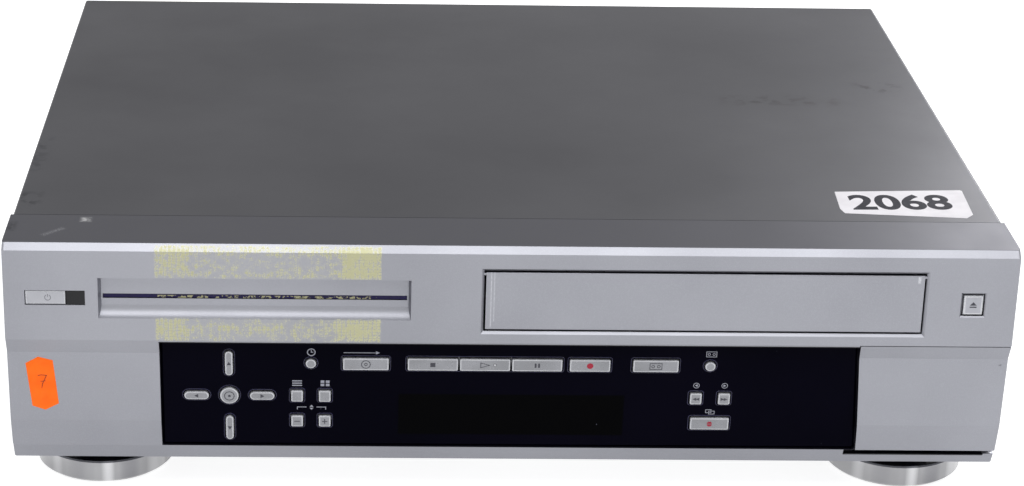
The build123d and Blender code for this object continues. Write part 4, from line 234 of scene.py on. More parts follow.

# Painted shade, dark and without metal, on the walls of the door's opening, the key recesses, the slot, the
# window's bed, the flap's bay and the back
shaded_walls = (
    ((-0.0135, 0.0013, 0.0838), (0.1791, 0.0338, 0.1149)),
    ((0.1925, 0.0008, 0.0932), (0.2047, 0.0338, 0.1056)),
    ((-0.2095, 0.0012, 0.0945), (-0.1808, 0.0338, 0.1047)),
    ((-0.1768, 0.0042, 0.0975), (-0.0440, 0.0338, 0.1006)),
    ((-0.1517, 0.0003, 0.0251), (0.1546, 0.0338, 0.0791)),
    ((0.1500, 0.0085, 0.0215), (0.2126, 0.0338, 0.0800)),
    ((-0.2170, 0.0145, 0.0172), (0.2170, 0.0345, 0.1236)),
)
for low, high in shaded_walls:
    low, high = (Vector(corner) + Vector((0, front, 0)) for corner in (low, high))
    paint_over(tree, shader, spot(tree, place, low, high), linear("#14131C"), 0.0)

# Squares of glue with the gaps that the threads left, thicker at both ends of the two strips
glue_left, glue_right = -0.1528, -0.0562
weft_pitch, warp_pitch = 0.0019, 0.0014
glue_weave = add(tree, "ShaderNodeTexNoise", Vector=place, Scale=380.0, Detail=3.0)
wobble = add(tree, "ShaderNodeVectorMath", {"operation": "SCALE"}, i0=glue_weave.outputs[1], Scale=0.0018)
woven = add(tree, "ShaderNodeVectorMath", {"operation": "ADD"}, i0=place, i1=wobble.outputs[0])
x, _, z = add(tree, "ShaderNodeSeparateXYZ", Vector=woven.outputs[0]).outputs[:3]
columns = add(tree, "ShaderNodeMath", {"operation": "PINGPONG"}, i0=x, i1=weft_pitch / 2)
columns = add(tree, "ShaderNodeMapRange", i0=columns.outputs[0], i1=0.00018, i2=0.00034)
rows = add(tree, "ShaderNodeMath", {"operation": "PINGPONG"}, i0=z, i1=warp_pitch / 2)
rows = add(tree, "ShaderNodeMapRange", i0=rows.outputs[0], i1=0.00006, i2=0.00018)
threads = add(
    tree, "ShaderNodeMath", {"operation": "MULTIPLY"}, i0=columns.outputs[0], i1=rows.outputs[0]
).outputs[0]
torn = add(tree, "ShaderNodeTexNoise", Vector=place, Scale=330.0, Detail=5.0, Roughness=0.85)
share = torn.outputs[0]
for left, right, bottom, top, more in (
    (glue_left, -0.1400, 0.0795, 0.0905, 0.10),
    (-0.0760, glue_right, 0.0795, 0.0905, 0.14),
    (glue_left, glue_right, 0.0835, 0.0875, 0.07),
    (-0.1510, -0.1390, 0.1120, 0.1225, 0.12),
    (-0.0725, glue_right, 0.1090, 0.1225, 0.20),
    (glue_left, glue_right, 0.1105, 0.1120, 0.08),
    (glue_left, glue_right, 0.1200, 0.1240, 0.07),
):
    denser = spot(tree, place, (left, -0.2, bottom), (right, -0.1, top), 0.002)
    share = add(
        tree, "ShaderNodeMath", {"operation": "MULTIPLY_ADD"}, i0=denser, i1=more, i2=share
    ).outputs[0]
stuck = add(tree, "ShaderNodeMapRange", i0=share, i1=0.53, i2=0.60).outputs[0]
filled = add(tree, "ShaderNodeMapRange", i0=share, i1=0.66, i2=0.74).outputs[0]
squares = add(tree, "ShaderNodeMath", {"operation": "MAXIMUM"}, i0=threads, i1=filled).outputs[0]
hazed = add(tree, "ShaderNodeMapRange", i0=share, i1=0.42, i2=0.72, i3=0.05, i4=0.50).outputs[0]
for bottom, top in ((0.0799, 0.0903), (0.1093, 0.1232)):
    strip = spot(tree, place, (glue_left, -0.19, bottom), (glue_right, -0.17, top), 0.0003)
    paint_over(tree, shader, (strip, hazed), linear("#CFCFC0"), 0.2)
    paint_over(tree, shader, (strip, stuck, squares), linear("#E8E6BA"), 0.0)
dress(material, "front_panel")

# Cassette door: a thin ABS moulding in the same paint, hung on two pins at its top corners.
# Upright lines near both ends are painted highlights along shallow grooves, and its edges and back are
# painted dark as shade.
material, tree, shader, place = silver_coat("satin_silver_paint_on_ABS_door")
drawn = add(tree, "ShaderNodeMapping", Vector=place, Scale=(1000.0, 1.0, 180.0))
groove_highlight_noise = add(tree, "ShaderNodeTexNoise", Vector=drawn.outputs[0], Detail=3.0)
groove_highlight_streaks = add(tree, "ShaderNodeMapRange", i0=groove_highlight_noise.outputs[0], i1=0.30, i2=0.62, i3=0.1, i4=0.75).outputs[0]
# Painted highlights: light upright lines near both ends, along shallow grooves.
for left, right, bottom, top in (
    (-0.0093, -0.0089, 0.0872, 0.1128), (-0.0079, -0.0076, 0.0900, 0.1128), (0.1740, 0.1752, 0.1092, 0.1122),
):
    groove_painted_highlight = spot(tree, place, (left, -0.2, bottom), (right, -0.1, top), 0.0002)
    paint_over(tree, shader, (groove_painted_highlight, groove_highlight_streaks), linear("#DADBE0"))
# Painted shade: the door's edges and back, dark and without metal.
door_painted_shade = spot(tree, place, (-0.02, front + 0.0011, 0.07), (0.19, -0.1, 0.13))
paint_over(tree, shader, door_painted_shade, linear("#15141F"), 0.0)
dress(material, "cassette_door")

# Socket flap: an ABS moulding in the same paint, on two pins at its foot.
# It closes the right end of the lower front, and its hollow back is painted a plain dark grey without metal.
material, tree, shader, place = silver_coat("satin_silver_paint_on_ABS_flap")
inside_flap = spot(tree, place, (0.156, front + 0.0095, 0.026), (0.2165, -0.15, 0.0785))
paint_over(tree, shader, inside_flap, linear("#2A2A31"), 0.0)
dress(material, "socket_flap")

# Eject key and power key: ABS caps, silver on the right and pearl white on the left.
# Each stands in a recess whose walls are painted dark as shade.
eject_paint = finish(
    "silver_paint_on_ABS_eject_key",
    ("#AEAFB6", "#B8B9C0"),
    patch=6.0,
    relief=0.004,
    rough=(0.28, 0.36),
    metallic=0.4,
)[0]
dress(eject_paint, "eject_button")
pearl = finish(
    "pearl_white_ABS_power_key", ("#D6D7DD", "#DEDFE5"), patch=8.0, relief=0.004, rough=(0.3, 0.4)
)[0]
dress(pearl, "power_button")

# Display window: smoked PMMA, blacked behind and polished in front, with a field left clear for the tube.
# Dust lies on it in specks of about 0.3 mm. The dark sensor window beside the power key is the same plastic.
window_bottom = 0.0253
window_rise = 0.0537
window_run = 0.0055
window_depth = 0.0099
material, tree, shader, place = finish(
    "smoked_PMMA_window", ("#030211", "#070517"), patch=90.0, relief=0.0, rough=(0.05, 0.09),
    IOR=1.49, Specular_IOR_Level=0.02,
)
clear_field = spot(tree, place, (-0.048, -0.2, 0.0314), (0.051, -0.1, 0.0519), 0.0003)
paint_over(tree, shader, clear_field, linear("#020204"))
dust = add(tree, "ShaderNodeTexVoronoi", Vector=place, Scale=150.0)
speck = add(tree, "ShaderNodeMapRange", i0=dust.outputs["Distance"], i1=0.02, i2=0.035, i3=1.0, i4=0.0)
few = add(tree, "ShaderNodeTexNoise", Vector=place, Scale=70.0, Detail=2.0)
few = add(tree, "ShaderNodeMapRange", i0=few.outputs[0], i1=0.55, i2=0.62)
paint_over(tree, shader, (speck.outputs[0], few.outputs[0]), linear("#8E90A4"))
dress(material, "display_window")
sensor = finish(
    "dark_PMMA_sensor_window",
    ("#101014", "#17181C"),
    patch=9.0,
    relief=0.003,
    rough=(0.1, 0.2),
    Specular_IOR_Level=0.3,
)[0]
dress(sensor, "sensor_window")

# Lamp bar of the slot: deep violet PMMA, frosted so that its lamp would spread.
# Crumbs of the glue lie along it.
material, tree, shader, place = finish(
    "violet_PMMA_lamp_bar",
    ("#17103F", "#221A55"),
    patch=14.0,
    relief=0.004,
    rough=(0.2, 0.3),
    Specular_IOR_Level=0.2,
)
crumbs = add(tree, "ShaderNodeTexNoise", Vector=place, Scale=420.0, Detail=3.0, Roughness=0.7)
crumbs = add(tree, "ShaderNodeMapRange", i0=crumbs.outputs[0], i1=0.50, i2=0.54)
along = spot(tree, place, (-0.152, -0.2, 0.0979), (-0.058, -0.1, 0.0993), 0.0002)
paint_over(tree, shader, (along, crumbs.outputs[0]), linear("#CFCBA0"))
dress(material, "slot_lens")

# Keys: ABS caps in satin silver, set through holes in the window.
# Round each hole runs a fine raised rim of the window's own plastic, which catches the light.
# Each cap has a crowned face of its own, with its edges painted bright as a highlight.
key_names = [
    name for name in nodes if name.endswith("_button") and name not in ("power_button", "eject_button")
]
round_keys = [name for name in key_names if "cursor" in name]
round_keys += ["ok_button", "timer_button", "tape_mode_button"]
key_proud = 0.001005
cap_rise = 0.00035
cap_slope = 0.0006
cap_corner = 0.0006
rim_wire = 0.00018
rim_gap = 0.0008
rim_corner = 0.0011
key_paint = finish(
    "satin_silver_paint_on_ABS_keys", ("#8C8D91", "#98999E"), patch=12.0, grain=0.8, relief=0.002,
    rough=(0.24, 0.32), metallic=0.6,
)[0]
dress(key_paint, *key_names)
rim_plastic = finish(
    "polished_PMMA_rims",
    ("#232148", "#2F2D58"),
    patch=10.0,
    relief=0.002,
    rough=(0.10, 0.18),
    Specular_IOR_Level=0.5,
)[0]
# Painted highlight: a lighter silver for the sloped edges of every crown.
painted_highlight_edge = finish(
    "silver_key_edges_painted_highlight", ("#C2C3C8", "#CFD0D4"), patch=6.0, relief=0.001, rough=(0.2, 0.3), metallic=0.5
)[0]
rim_tree = bpy.data.node_groups.new("key_rim", "GeometryNodeTree")
for label, kind in (
    ("Width", "NodeSocketFloat"), ("Height", "NodeSocketFloat"), ("Corner", "NodeSocketFloat"),
    ("Wire", "NodeSocketFloat"), ("Plastic", "NodeSocketMaterial"),
):
    rim_tree.interface.new_socket(label, in_out="INPUT", socket_type=kind)
rim_tree.interface.new_socket("Rim", in_out="OUTPUT", socket_type="NodeSocketGeometry")
given = add(rim_tree, "NodeGroupInput").outputs
path = add(rim_tree, "GeometryNodeCurvePrimitiveQuadrilateral", Width=given["Width"], Height=given["Height"])
path = add(
    rim_tree,
    "GeometryNodeFilletCurve",
    {"mode": "POLY"},
    Curve=path.outputs[0],
    Count=6,
    Radius=given["Corner"],
)
path.inputs["Limit Radius"].default_value = True
wire = add(rim_tree, "GeometryNodeCurvePrimitiveCircle", Resolution=8, Radius=given["Wire"])
rim = add(rim_tree, "GeometryNodeCurveToMesh", i0=path.outputs[0], i1=wire.outputs[0])
rim = add(rim_tree, "GeometryNodeRealizeInstances", Geometry=rim.outputs[0])
rim = add(rim_tree, "GeometryNodeSetMaterial", Geometry=rim.outputs[0], Material=given["Plastic"])
add(rim_tree, "NodeGroupOutput", Rim=rim.outputs[0])
inputs = {item.name: item.identifier for item in rim_tree.interface.items_tree if item.in_out == "INPUT"}


def on_window(u, v, proud=0.0):
    """A point in front of the leaning window at this X and height."""
    return Vector((u, front + window_depth - window_run * (v - window_bottom) / window_rise - proud, v))


def collect(name, parts, body, material):
    """One mesh from lists of points and faces, riding on a body."""
    points, faces = [], []
    for some_points, some_faces in parts:
        faces += [[len(points) + i for i in face] for face in some_faces]
        points += some_points
    mesh = bpy.data.meshes.new(name)
    mesh.from_pydata([tuple(point) for point in points], [], faces)
    mesh.update()
    piece = bpy.data.objects.new(name, mesh)
    scene.collection.objects.link(piece)
    mesh.materials.append(material)
    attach(piece, body)
    return piece


def key_face(name, surface=on_window, proud=0.0009):
    """Corners, X and height, of the part of a key that stands this far before a surface."""
    tips = [v.co for v in nodes[name].data.vertices if surface(v.co.x, v.co.z, 0.0).y - v.co.y > proud]
    return [(pick(v.x for v in tips), pick(v.z for v in tips)) for pick in (min, max)]


rims = []
deck_row = ("play_button", "pause_button")
for name in [name for name in key_names if name not in deck_row]:
    low, high = key_face(name)
    if name == "stop_button":
        high = key_face("pause_button")[1]
    wide, tall = high[0] - low[0] + 2 * rim_gap, high[1] - low[1] + 2 * rim_gap
    corner = min(wide, tall) / 2 if name in round_keys else rim_corner
    blank = bpy.data.objects.new("blank", bpy.data.meshes.new("blank"))
    scene.collection.objects.link(blank)
    modifier = blank.modifiers.new("rim", "NODES")
    modifier.node_group = rim_tree
    for label, value in (("Width", wide), ("Height", tall), ("Corner", corner), ("Wire", rim_wire)):
        modifier[inputs[label]] = value
    modifier[inputs["Plastic"]] = rim_plastic
    made = bpy.data.meshes.new_from_object(blank.evaluated_get(bpy.context.evaluated_depsgraph_get()))
    bpy.data.objects.remove(blank)
    middle = ((low[0] + high[0]) / 2, (low[1] + high[1]) / 2)
    points = [on_window(middle[0] + v.co.x, middle[1] + v.co.y, v.co.z) for v in made.vertices]
    rims.append((points, [list(face.vertices) for face in made.polygons]))
rims = collect("key_rims", rims, "recorder", rim_plastic)
for face in rims.data.polygons:
    face.use_smooth = True


def rounded(wide, tall, corner, steps=5):
    """Points round a rectangle with rounded corners, about its middle."""
    points = []
    for i, (across, along) in enumerate(((1, 1), (-1, 1), (-1, -1), (1, -1))):
        for step in range(steps + 1):
            turn = (i + step / steps) * pi / 2
            points.append((
                across * (wide / 2 - corner) + corner * cos(turn),
                along * (tall / 2 - corner) + corner * sin(turn),
            ))
    return points


def crown(name, face, surface, inset, rise, corner, material):
    """The crowned face of a key: a steep edge and a gentle slope, both painted bright as a highlight, and a
    flat top.
    """
    low, high = face
    middle = ((low[0] + high[0]) / 2, (low[1] + high[1]) / 2)
    wide, tall = high[0] - low[0], high[1] - low[1]
    points, faces, count = [], [], 0
    for share, proud in ((0.0, -0.00005), (0.15, rise * 0.45), (1.0, rise)):
        less = 2 * inset * share
        loop = rounded(wide - less, tall - less, max(0.00005, corner - inset * share))
        count = len(loop)
        points += [surface(middle[0] + u, middle[1] + v, proud) for u, v in loop]
    for ring in (0, count):
        for i in range(count):
            after = (i + 1) % count
            faces.append([ring + i, ring + after, ring + count + after, ring + count + i])
    faces += [list(range(count))[::-1], [2 * count + i for i in range(count)]]
    piece = collect(name.replace("_button", "_crown"), [(points, faces)], name, material)
    piece.data.materials.append(painted_highlight_edge)
    for face in piece.data.polygons[:-1]:
        face.material_index = 1


def on_key(u, v, proud):
    """A point in front of a key's moulded face."""
    return on_window(u, v, key_proud + proud)


for name in key_names:
    low, high = key_face(name)
    corner = min(high[0] - low[0], high[1] - low[1]) / 2 if name in round_keys else cap_corner
    crown(name, (low, high), on_key, cap_slope, cap_rise, corner, key_paint)

# Key signs and legends: pad-printed ink, 0.03 mm thick, grey on the keys and off-white on the window.
# Only the plain signs of transport, cursor, clock and the like are drawn, in mm about their own middle.
ink = 0.00003
grey_ink = finish("grey_printing_ink", ("#3B3B45", "#45454F"), patch=3.0, relief=0.002, rough=(0.4, 0.5))[0]
red_ink = finish("red_printing_ink", ("#B81F3C", "#C92A46"), patch=3.0, relief=0.002, rough=(0.4, 0.5))[0]
white_ink = finish("white_printing_ink", ("#B9BBC8", "#C8CAD6"), patch=3.0, relief=0.002, rough=(0.4, 0.5))[0]


def line(points, width, closed=False):
    """Corners of the quads along a drawn line, mitred at its bends."""
    quads, count = [], len(points)
    sides = []
    for i, (u, v) in enumerate(points):
        before = points[i - 1] if i or closed else points[i]
        after = points[(i + 1) % count] if i + 1 < count or closed else points[i]
        ways = []
        for a, b in ((before, (u, v)), ((u, v), after)):
            length = hypot(b[0] - a[0], b[1] - a[1])
            if length:
                ways.append(((b[0] - a[0]) / length, (b[1] - a[1]) / length))
        across = (-sum(w[1] for w in ways), sum(w[0] for w in ways))
        size = hypot(*across)
        across = (across[0] / size, across[1] / size)
        reach = width / 2 / max(0.5, abs(across[0] * -ways[0][1] + across[1] * ways[0][0]))
        sides.append(
            ((u + across[0] * reach, v + across[1] * reach), (u - across[0] * reach, v - across[1] * reach))
        )
    for i in range(count if closed else count - 1):
        a, b = sides[i], sides[(i + 1) % count]
        quads.append([a[0], a[1], b[1], b[0]])
    return quads


def disc(radius, u=0.0, v=0.0, first=0, last=360, steps=24):
    """Corners of a disc or a part of one."""
    turns = [radians(first + (last - first) * i / steps) for i in range(steps + (last - first < 360))]
    return [(u + radius * cos(turn), v + radius * sin(turn)) for turn in turns]


def bar(wide, tall, u=0.0, v=0.0):
    """Corners of an upright rectangle."""
    return [(u + a * wide / 2, v + b * tall / 2) for a, b in ((-1, -1), (1, -1), (1, 1), (-1, 1))]


def printed(name, shapes, middle, surface, body, material, thick=ink):
    """Print flat shapes, given in mm, on a surface that maps X and height to a point."""
    parts = []
    for shape in shapes:
        turn = sum(a[0] * b[1] - b[0] * a[1] for a, b in zip(shape, shape[1:] + shape[:1]))
        shape = shape if turn > 0 else shape[::-1]
        count = len(shape)
        flat = [(middle[0] + u / 1000, middle[1] + v / 1000) for u, v in shape]
        points = [surface(u, v, thick) for u, v in flat] + [surface(u, v, -thick) for u, v in flat]
        faces = [list(range(count)), list(range(2 * count - 1, count - 1, -1))]
        faces += [[i, i + count, (i + 1) % count + count, (i + 1) % count] for i in range(count)]
        parts.append((points, faces))
    return collect(name, parts, body, material)


def on_crown(u, v, proud):
    """A point in front of a key's crowned face."""
    return on_key(u, v, cap_rise + proud)


up = [(-0.95, -0.75), (0.95, -0.75), (0.0, 0.95)]
down = [(u, -v) for u, v in up]
right = [(v, u) for u, v in up]
left = [(-v, u) for u, v in up]
double_right = [[(u - 0.8, v * 0.8) for u, v in right], [(u + 0.6, v * 0.8) for u, v in right]]
double_left = [[(-u, v) for u, v in shape] for shape in double_right]
cassette = (
    line(bar(5.2, 3.0), 0.34, True)
    + line(disc(0.62, -1.25), 0.3, True)
    + line(disc(0.62, 1.25), 0.3, True)
)
for name, shapes, material in (
    ("cursor_up", [up], grey_ink),
    ("cursor_down", [down], grey_ink),
    ("cursor_left", [left], grey_ink),
    ("cursor_right", [right], grey_ink),
    ("ok", line(disc(2.1), 0.36, True) + [disc(0.6)], grey_ink),
    ("channel_down", [bar(2.4, 0.4)], grey_ink),
    ("channel_up", [bar(2.4, 0.4), bar(0.4, 1.0, 0.0, 0.7), bar(0.4, 1.0, 0.0, -0.7)], grey_ink),
    ("disk_select", line(disc(1.9), 0.36, True) + line(disc(0.6), 0.32, True), grey_ink),
    ("stop", [bar(2.2, 2.1)], grey_ink),
    ("play", line([(-1.9, -1.2), (1.9, 0.0), (-1.9, 1.2)], 0.34, True), grey_ink),
    ("pause", [bar(0.8, 2.1, -0.75), bar(0.8, 2.1, 0.75)], grey_ink),
    ("record", [disc(1.4)], red_ink),
    ("tape_select", cassette, grey_ink),
    ("rewind", double_left, grey_ink),
    ("fast_forward", double_right, grey_ink),
    ("dub", [disc(1.1, 0.0, 0.14, 0, 180), disc(1.1, 0.0, -0.14, 180, 360)], red_ink),
):
    low, high = key_face(name + "_button")
    middle = ((low[0] + high[0]) / 2, (low[1] + high[1]) / 2)
    printed(name + "_sign", shapes, middle, on_crown, name + "_button", material)
lamp_dot = finish(
    "clear_acrylic_play_lamp", ("#E9EAF0", "#F2F3F6"), patch=2.0, relief=0.001, rough=(0.15, 0.25)
)[0]
lamp_middle = (-0.0063, 0.0674)
printed("play_lamp_rim", [disc(0.75)], lamp_middle, on_crown, "play_button", grey_ink)
printed("play_lamp", [disc(0.55)], lamp_middle, on_crown, "play_button", lamp_dot, 0.0001)

legends = []
for shapes, u, v, scale in (
    (line(disc(1.15), 0.3, True) + line([(0.0, 0.8), (0.0, 0.0), (0.6, 0.0)], 0.26), -86.1, 72.6, 1.45),
    ([bar(3.4, 0.42, 0.0, shift) for shift in (-0.9, 0.0, 0.9)], -92.3, 57.0, 1.25),
    ([bar(1.3, 1.0, a, b) for a in (-0.9, 0.9) for b in (-0.65, 0.65)], -80.1, 57.0, 1.25),
    (line([(-6.2, -1.0), (-6.2, 0.3), (-2.2, 0.3)], 0.34), -86.0, 44.6, 1.0),
    (line([(6.2, -1.0), (6.2, 0.3), (2.2, 0.3)], 0.34), -86.0, 44.6, 1.0),
    (
        [[(u * 0.9, v * 0.6 + 0.85) for u, v in up], [(u * 0.9, v * 0.6 - 0.55) for u, v in down]],
        -86.0,
        44.6,
        1.0,
    ),
    (line([(-8.6, 0.0), (5.4, 0.0)], 0.32) + [[(u + 6.2, v * 0.9) for u, v in right]], -63.5, 72.5, 1.0),
    (cassette, 87.9, 73.0, 0.85),
    (line(disc(1.25, 0.0, 0.0), 0.26, True) + [[(u * 0.7, v * 0.7) for u, v in left]], 82.3, 57.2, 1.0),
    (line(disc(1.25, 0.0, 0.0), 0.26, True) + [[(u * 0.7, v * 0.7) for u, v in right]], 94.7, 57.2, 1.0),
    (
        line(bar(2.4, 1.5, -0.7, 0.35), 0.28, True) + line(bar(2.4, 1.5, 0.7, -0.35), 0.28, True),
        89.1,
        43.8,
        1.0,
    ),
):
    legends += [[(u + a * scale, v + b * scale) for a, b in shape] for shape in shapes]
printed("window_legends", legends, (0.0, 0.0), on_window, "recorder", white_ink)


eject_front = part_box("eject_button")[0][1]
eject_rise = 0.00025
power_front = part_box("power_button")[0][1]
power_rise = 0.00022


def on_eject(u, v, proud):
    """A point in front of the eject key's face."""
    return Vector((u, eject_front - proud, v))


crown(
    "eject_button",
    key_face("eject_button", on_eject, -0.0001),
    on_eject,
    0.0008,
    eject_rise,
    0.0008,
    eject_paint,
)
eject_sign = [[(-1.5, -0.1), (1.5, -0.1), (0.0, 1.5)], bar(3.0, 0.55, 0.0, -0.85)]
printed(
    "eject_sign", eject_sign, (0.1986, 0.0994),
    lambda u, v, proud: on_eject(u, v, eject_rise + proud), "eject_button", grey_ink,
)


def on_power(u, v, proud):
    """A point in front of the power key's face."""
    return Vector((u, power_front - proud, v))


crown(
    "power_button", key_face("power_button", on_power, -0.0001), on_power, 0.0005, power_rise, 0.0004, pearl
)
pale_ink = finish(
    "pale_grey_printing_ink", ("#8A8B92", "#96979E"), patch=3.0, relief=0.002, rough=(0.4, 0.5)
)[0]
power_sign = line(disc(1.25, 0.0, 0.0, 120, 420), 0.3) + [bar(0.3, 1.3, 0.0, 0.95)]
printed(
    "power_sign", power_sign, (-0.1985, 0.0996),
    lambda u, v, proud: on_power(u, v, power_rise + proud), "power_button", pale_ink,
)


lower_top = 0.0724
lower_rise = 0.0336
lower_run = 0.0023
lower_depth = 0.0036


def on_lower_panel(u, v, proud=0.0):
    """A point in front of the leaning lower part of the panel."""
    return Vector((u, front + lower_depth + lower_run * (lower_top - v) / lower_rise - proud, v))


pull_arrow = [(u * 0.7, v * 0.55) for u, v in left]
printed("pull_mark", [pull_arrow], (0.214, 0.0694), on_lower_panel, "socket_flap", pale_ink, 0.00006)

# Orange sticker: self-adhesive paper with clipped corners, on the lower left of the panel.
# Someone has written a figure on it with a pen.
sticker = [(-209.6, 66.9), (-204.1, 70.1), (-197.8, 68.4), (-196.0, 47.1), (-201.9, 43.9), (-207.5, 45.9)]
# Painted glow: the paper's fluorescence is given as a constant orange emission.
orange = finish(
    "fluorescent_orange_paper_painted_glow", ("#FA6406", "#FF7412"), patch=6.0, grain=0.25, relief=0.01, rough=(0.6, 0.75),
    Emission_Color=linear("#FF6A08"), Emission_Strength=0.45,
)[0]
printed("orange_sticker", [sticker], (0.0, 0.0), on_lower_panel, "recorder", orange, 0.0001)
pen = finish("pen_ink_on_paper", ("#A8401A", "#B84A1E"), patch=2.0, relief=0.002, rough=(0.5, 0.6))[0]
figure = line([(-2.0, 2.9), (-0.4, 3.2), (1.8, 3.0), (0.9, 1.0), (0.0, -1.0), (-0.5, -3.3)], 0.4)
figure += line([(-1.0, 0.0), (1.4, 0.3)], 0.36)
printed("orange_sticker_figure", figure, (-0.2026, 0.0580), on_lower_panel, "recorder", pen, 0.00013)

# Cover: folded steel sheet in a matt dark silver paint, rubbed and smudged by years of use.
# Small dark scuffs show along its edges, and a paper sticker with a number lies near its front right.
material, tree, shader, place = finish(
    "dark_silver_paint_on_steel_cover", ("#49494C", "#525255"), patch=140.0, grain=0.45, relief=0.012,
    rough=(0.32, 0.40), metallic=0.6, Specular_IOR_Level=0.15, Specular_Tint=linear("#BCBCBE"),
)
rubs = add(tree, "ShaderNodeMapping", Vector=place, Rotation=(0.0, 0.0, 0.6), Scale=(18.0, 110.0, 18.0))
rubs = add(tree, "ShaderNodeTexNoise", Vector=rubs.outputs[0], Detail=6.0, Roughness=0.6)
rubs = add(tree, "ShaderNodeMapRange", i0=rubs.outputs[0], i1=0.60, i2=0.74, i3=0.0, i4=0.25)
paint_over(tree, shader, rubs.outputs[0], linear("#3F3F43"))
torn_edge = add(tree, "ShaderNodeTexNoise", Vector=place, Scale=180.0, Detail=5.0)
torn_edge = add(tree, "ShaderNodeMapRange", i0=torn_edge.outputs[0], i1=0.50, i2=0.60)
for low, high, colour in (
    ((-0.2165, -0.1330, 0.1), (-0.2090, -0.1200, 0.2), "#2C2C30"),
    ((-0.2165, -0.0900, 0.1), (-0.2120, -0.0500, 0.2), "#38383C"),
    ((0.1150, 0.0100, 0.1), (0.1700, 0.0200, 0.2), "#3C3A3C"),
    ((0.1850, 0.0300, 0.1), (0.2050, 0.0420, 0.2), "#333034"),
):
    paint_over(tree, shader, (spot(tree, place, low, high, 0.004), torn_edge.outputs[0]), linear(colour))
dress(material, "top_cover")


def on_cover(u, v, proud=0.0):
    """A point over the cover at this X and depth."""
    return Vector((u, front + v, panel_top + proud))


paper_sticker = [
    (148.6, 70.3), (206.0, 73.6), (206.9, 72.6), (205.7, 43.7), (202.1, 39.5), (148.9, 44.2), (147.6, 49.5),
]
white_paper = finish(
    "white_paper_sticker", ("#CFCCD0", "#D8D5D9"), patch=9.0, grain=0.25, relief=0.01, rough=(0.55, 0.7)
)[0]
printed("number_sticker", [paper_sticker], (0.0, 0.0), on_cover, "recorder", white_paper, 0.00004)
black_ink = finish(
    "black_laser_print",
    ("#1C1C26", "#26262F"),
    patch=4.0,
    relief=0.003,
    rough=(0.4, 0.55),
    Specular_IOR_Level=0.03,
)[0]
number = bpy.data.curves.new("number", "FONT")
number.body = "2068"
number.size = 0.0240
number.offset = 0.0007
number.extrude = 0.00001
number.align_x = number.align_y = "CENTER"
number.resolution_u = 6
writing = bpy.data.objects.new("writing", number)
scene.collection.objects.link(writing)
flat = bpy.data.meshes.new_from_object(writing.evaluated_get(bpy.context.evaluated_depsgraph_get()))
bpy.data.objects.remove(writing)
tilt = radians(1.5)
narrowed = 0.95
middle = (0.1760, 0.0570)
points = []
for vertex in flat.vertices:
    u, v = vertex.co.x * narrowed, vertex.co.y
    points.append(on_cover(
        middle[0] + u * cos(tilt) - v * sin(tilt),
        middle[1] + u * sin(tilt) + v * cos(tilt),
        0.00005 + vertex.co.z,
    ))
collect(
    "number_on_sticker", [(points, [list(face.vertices) for face in flat.polygons])], "recorder", black_ink
)

# Front feet: broad plated rings of ABS, screwed under the tray, with bands of painted reflection round the
# rim and the cup behind it painted dark as shade.
# Felt pads are glued under them, and plain black ABS feet stand at the back.
foot_across = 0.1806
foot_back = 0.051
cup_radius = 0.0290
foot_radius = 0.033
material, tree, shader, place = finish(
    "chromed_ABS_feet",
    ("#969698", "#A0A0A2"),
    patch=25.0,
    grain=3.0,
    relief=0.004,
    rough=(0.14, 0.22),
    metallic=1.0,
)
for side in (-1, 1):
    centre = (side * foot_across, front + foot_back, 0.0)
    away = add(tree, "ShaderNodeVectorMath", {"operation": "SUBTRACT"}, i0=place, i1=centre)
    away = add(
        tree, "ShaderNodeVectorMath", {"operation": "MULTIPLY"}, i0=away.outputs[0], i1=(1.0, 1.0, 0.0)
    )
    turn = add(tree, "ShaderNodeVectorMath", {"operation": "NORMALIZE"}, i0=away.outputs[0])
    drawn = add(tree, "ShaderNodeTexNoise", Vector=turn.outputs[0], Scale=1.9, Detail=1.0)
    away = add(tree, "ShaderNodeVectorMath", {"operation": "LENGTH"}, i0=away.outputs[0])
    near = add(
        tree, "ShaderNodeMapRange", i0=away.outputs[1], i1=foot_radius, i2=foot_radius + 0.001, i3=1.0, i4=0.0
    )
    # Painted reflections: bright and dark bands round the side of each rim.
    for first, last, colour in ((0.52, 0.70, "#E4E4E6"), (0.44, 0.30, "#808084")):
        streak = add(tree, "ShaderNodeMapRange", i0=drawn.outputs[0], i1=first, i2=last).outputs[0]
        paint_over(tree, shader, (near.outputs[0], streak), linear(colour))
    # Painted shade: the cup behind the rim and the neck up to the tray, dark and without metal.
    cup = add(
        tree, "ShaderNodeMapRange", i0=away.outputs[1], i1=cup_radius, i2=cup_radius + 0.0002, i3=1.0, i4=0.0
    )
    above_floor = spot(tree, place, (-beyond, -beyond, 0.002), (beyond, beyond, 0.05))
    paint_over(tree, shader, (cup.outputs[0], above_floor), linear("#191826"), 0.0)
dress(material, "front_feet")
felt = finish("grey_felt_pads", ("#2F2F32", "#3E3E42"), patch=4.0, grain=0.5, relief=0.15, rough=(0.85, 0.95))
dress(felt[0], "foot_pads")
black_feet = finish("black_ABS_rear_feet", ("#1B1B1D", "#232326"), patch=12.0, relief=0.03, rough=(0.45, 0.6))
dress(black_feet[0], "rear_feet")

# Tray, back and brackets: galvanised steel sheet, pressed and folded, with zinc flowers about 12 mm wide.
# The deck's plate, carriage and holder are pressed from brighter plated sheet.


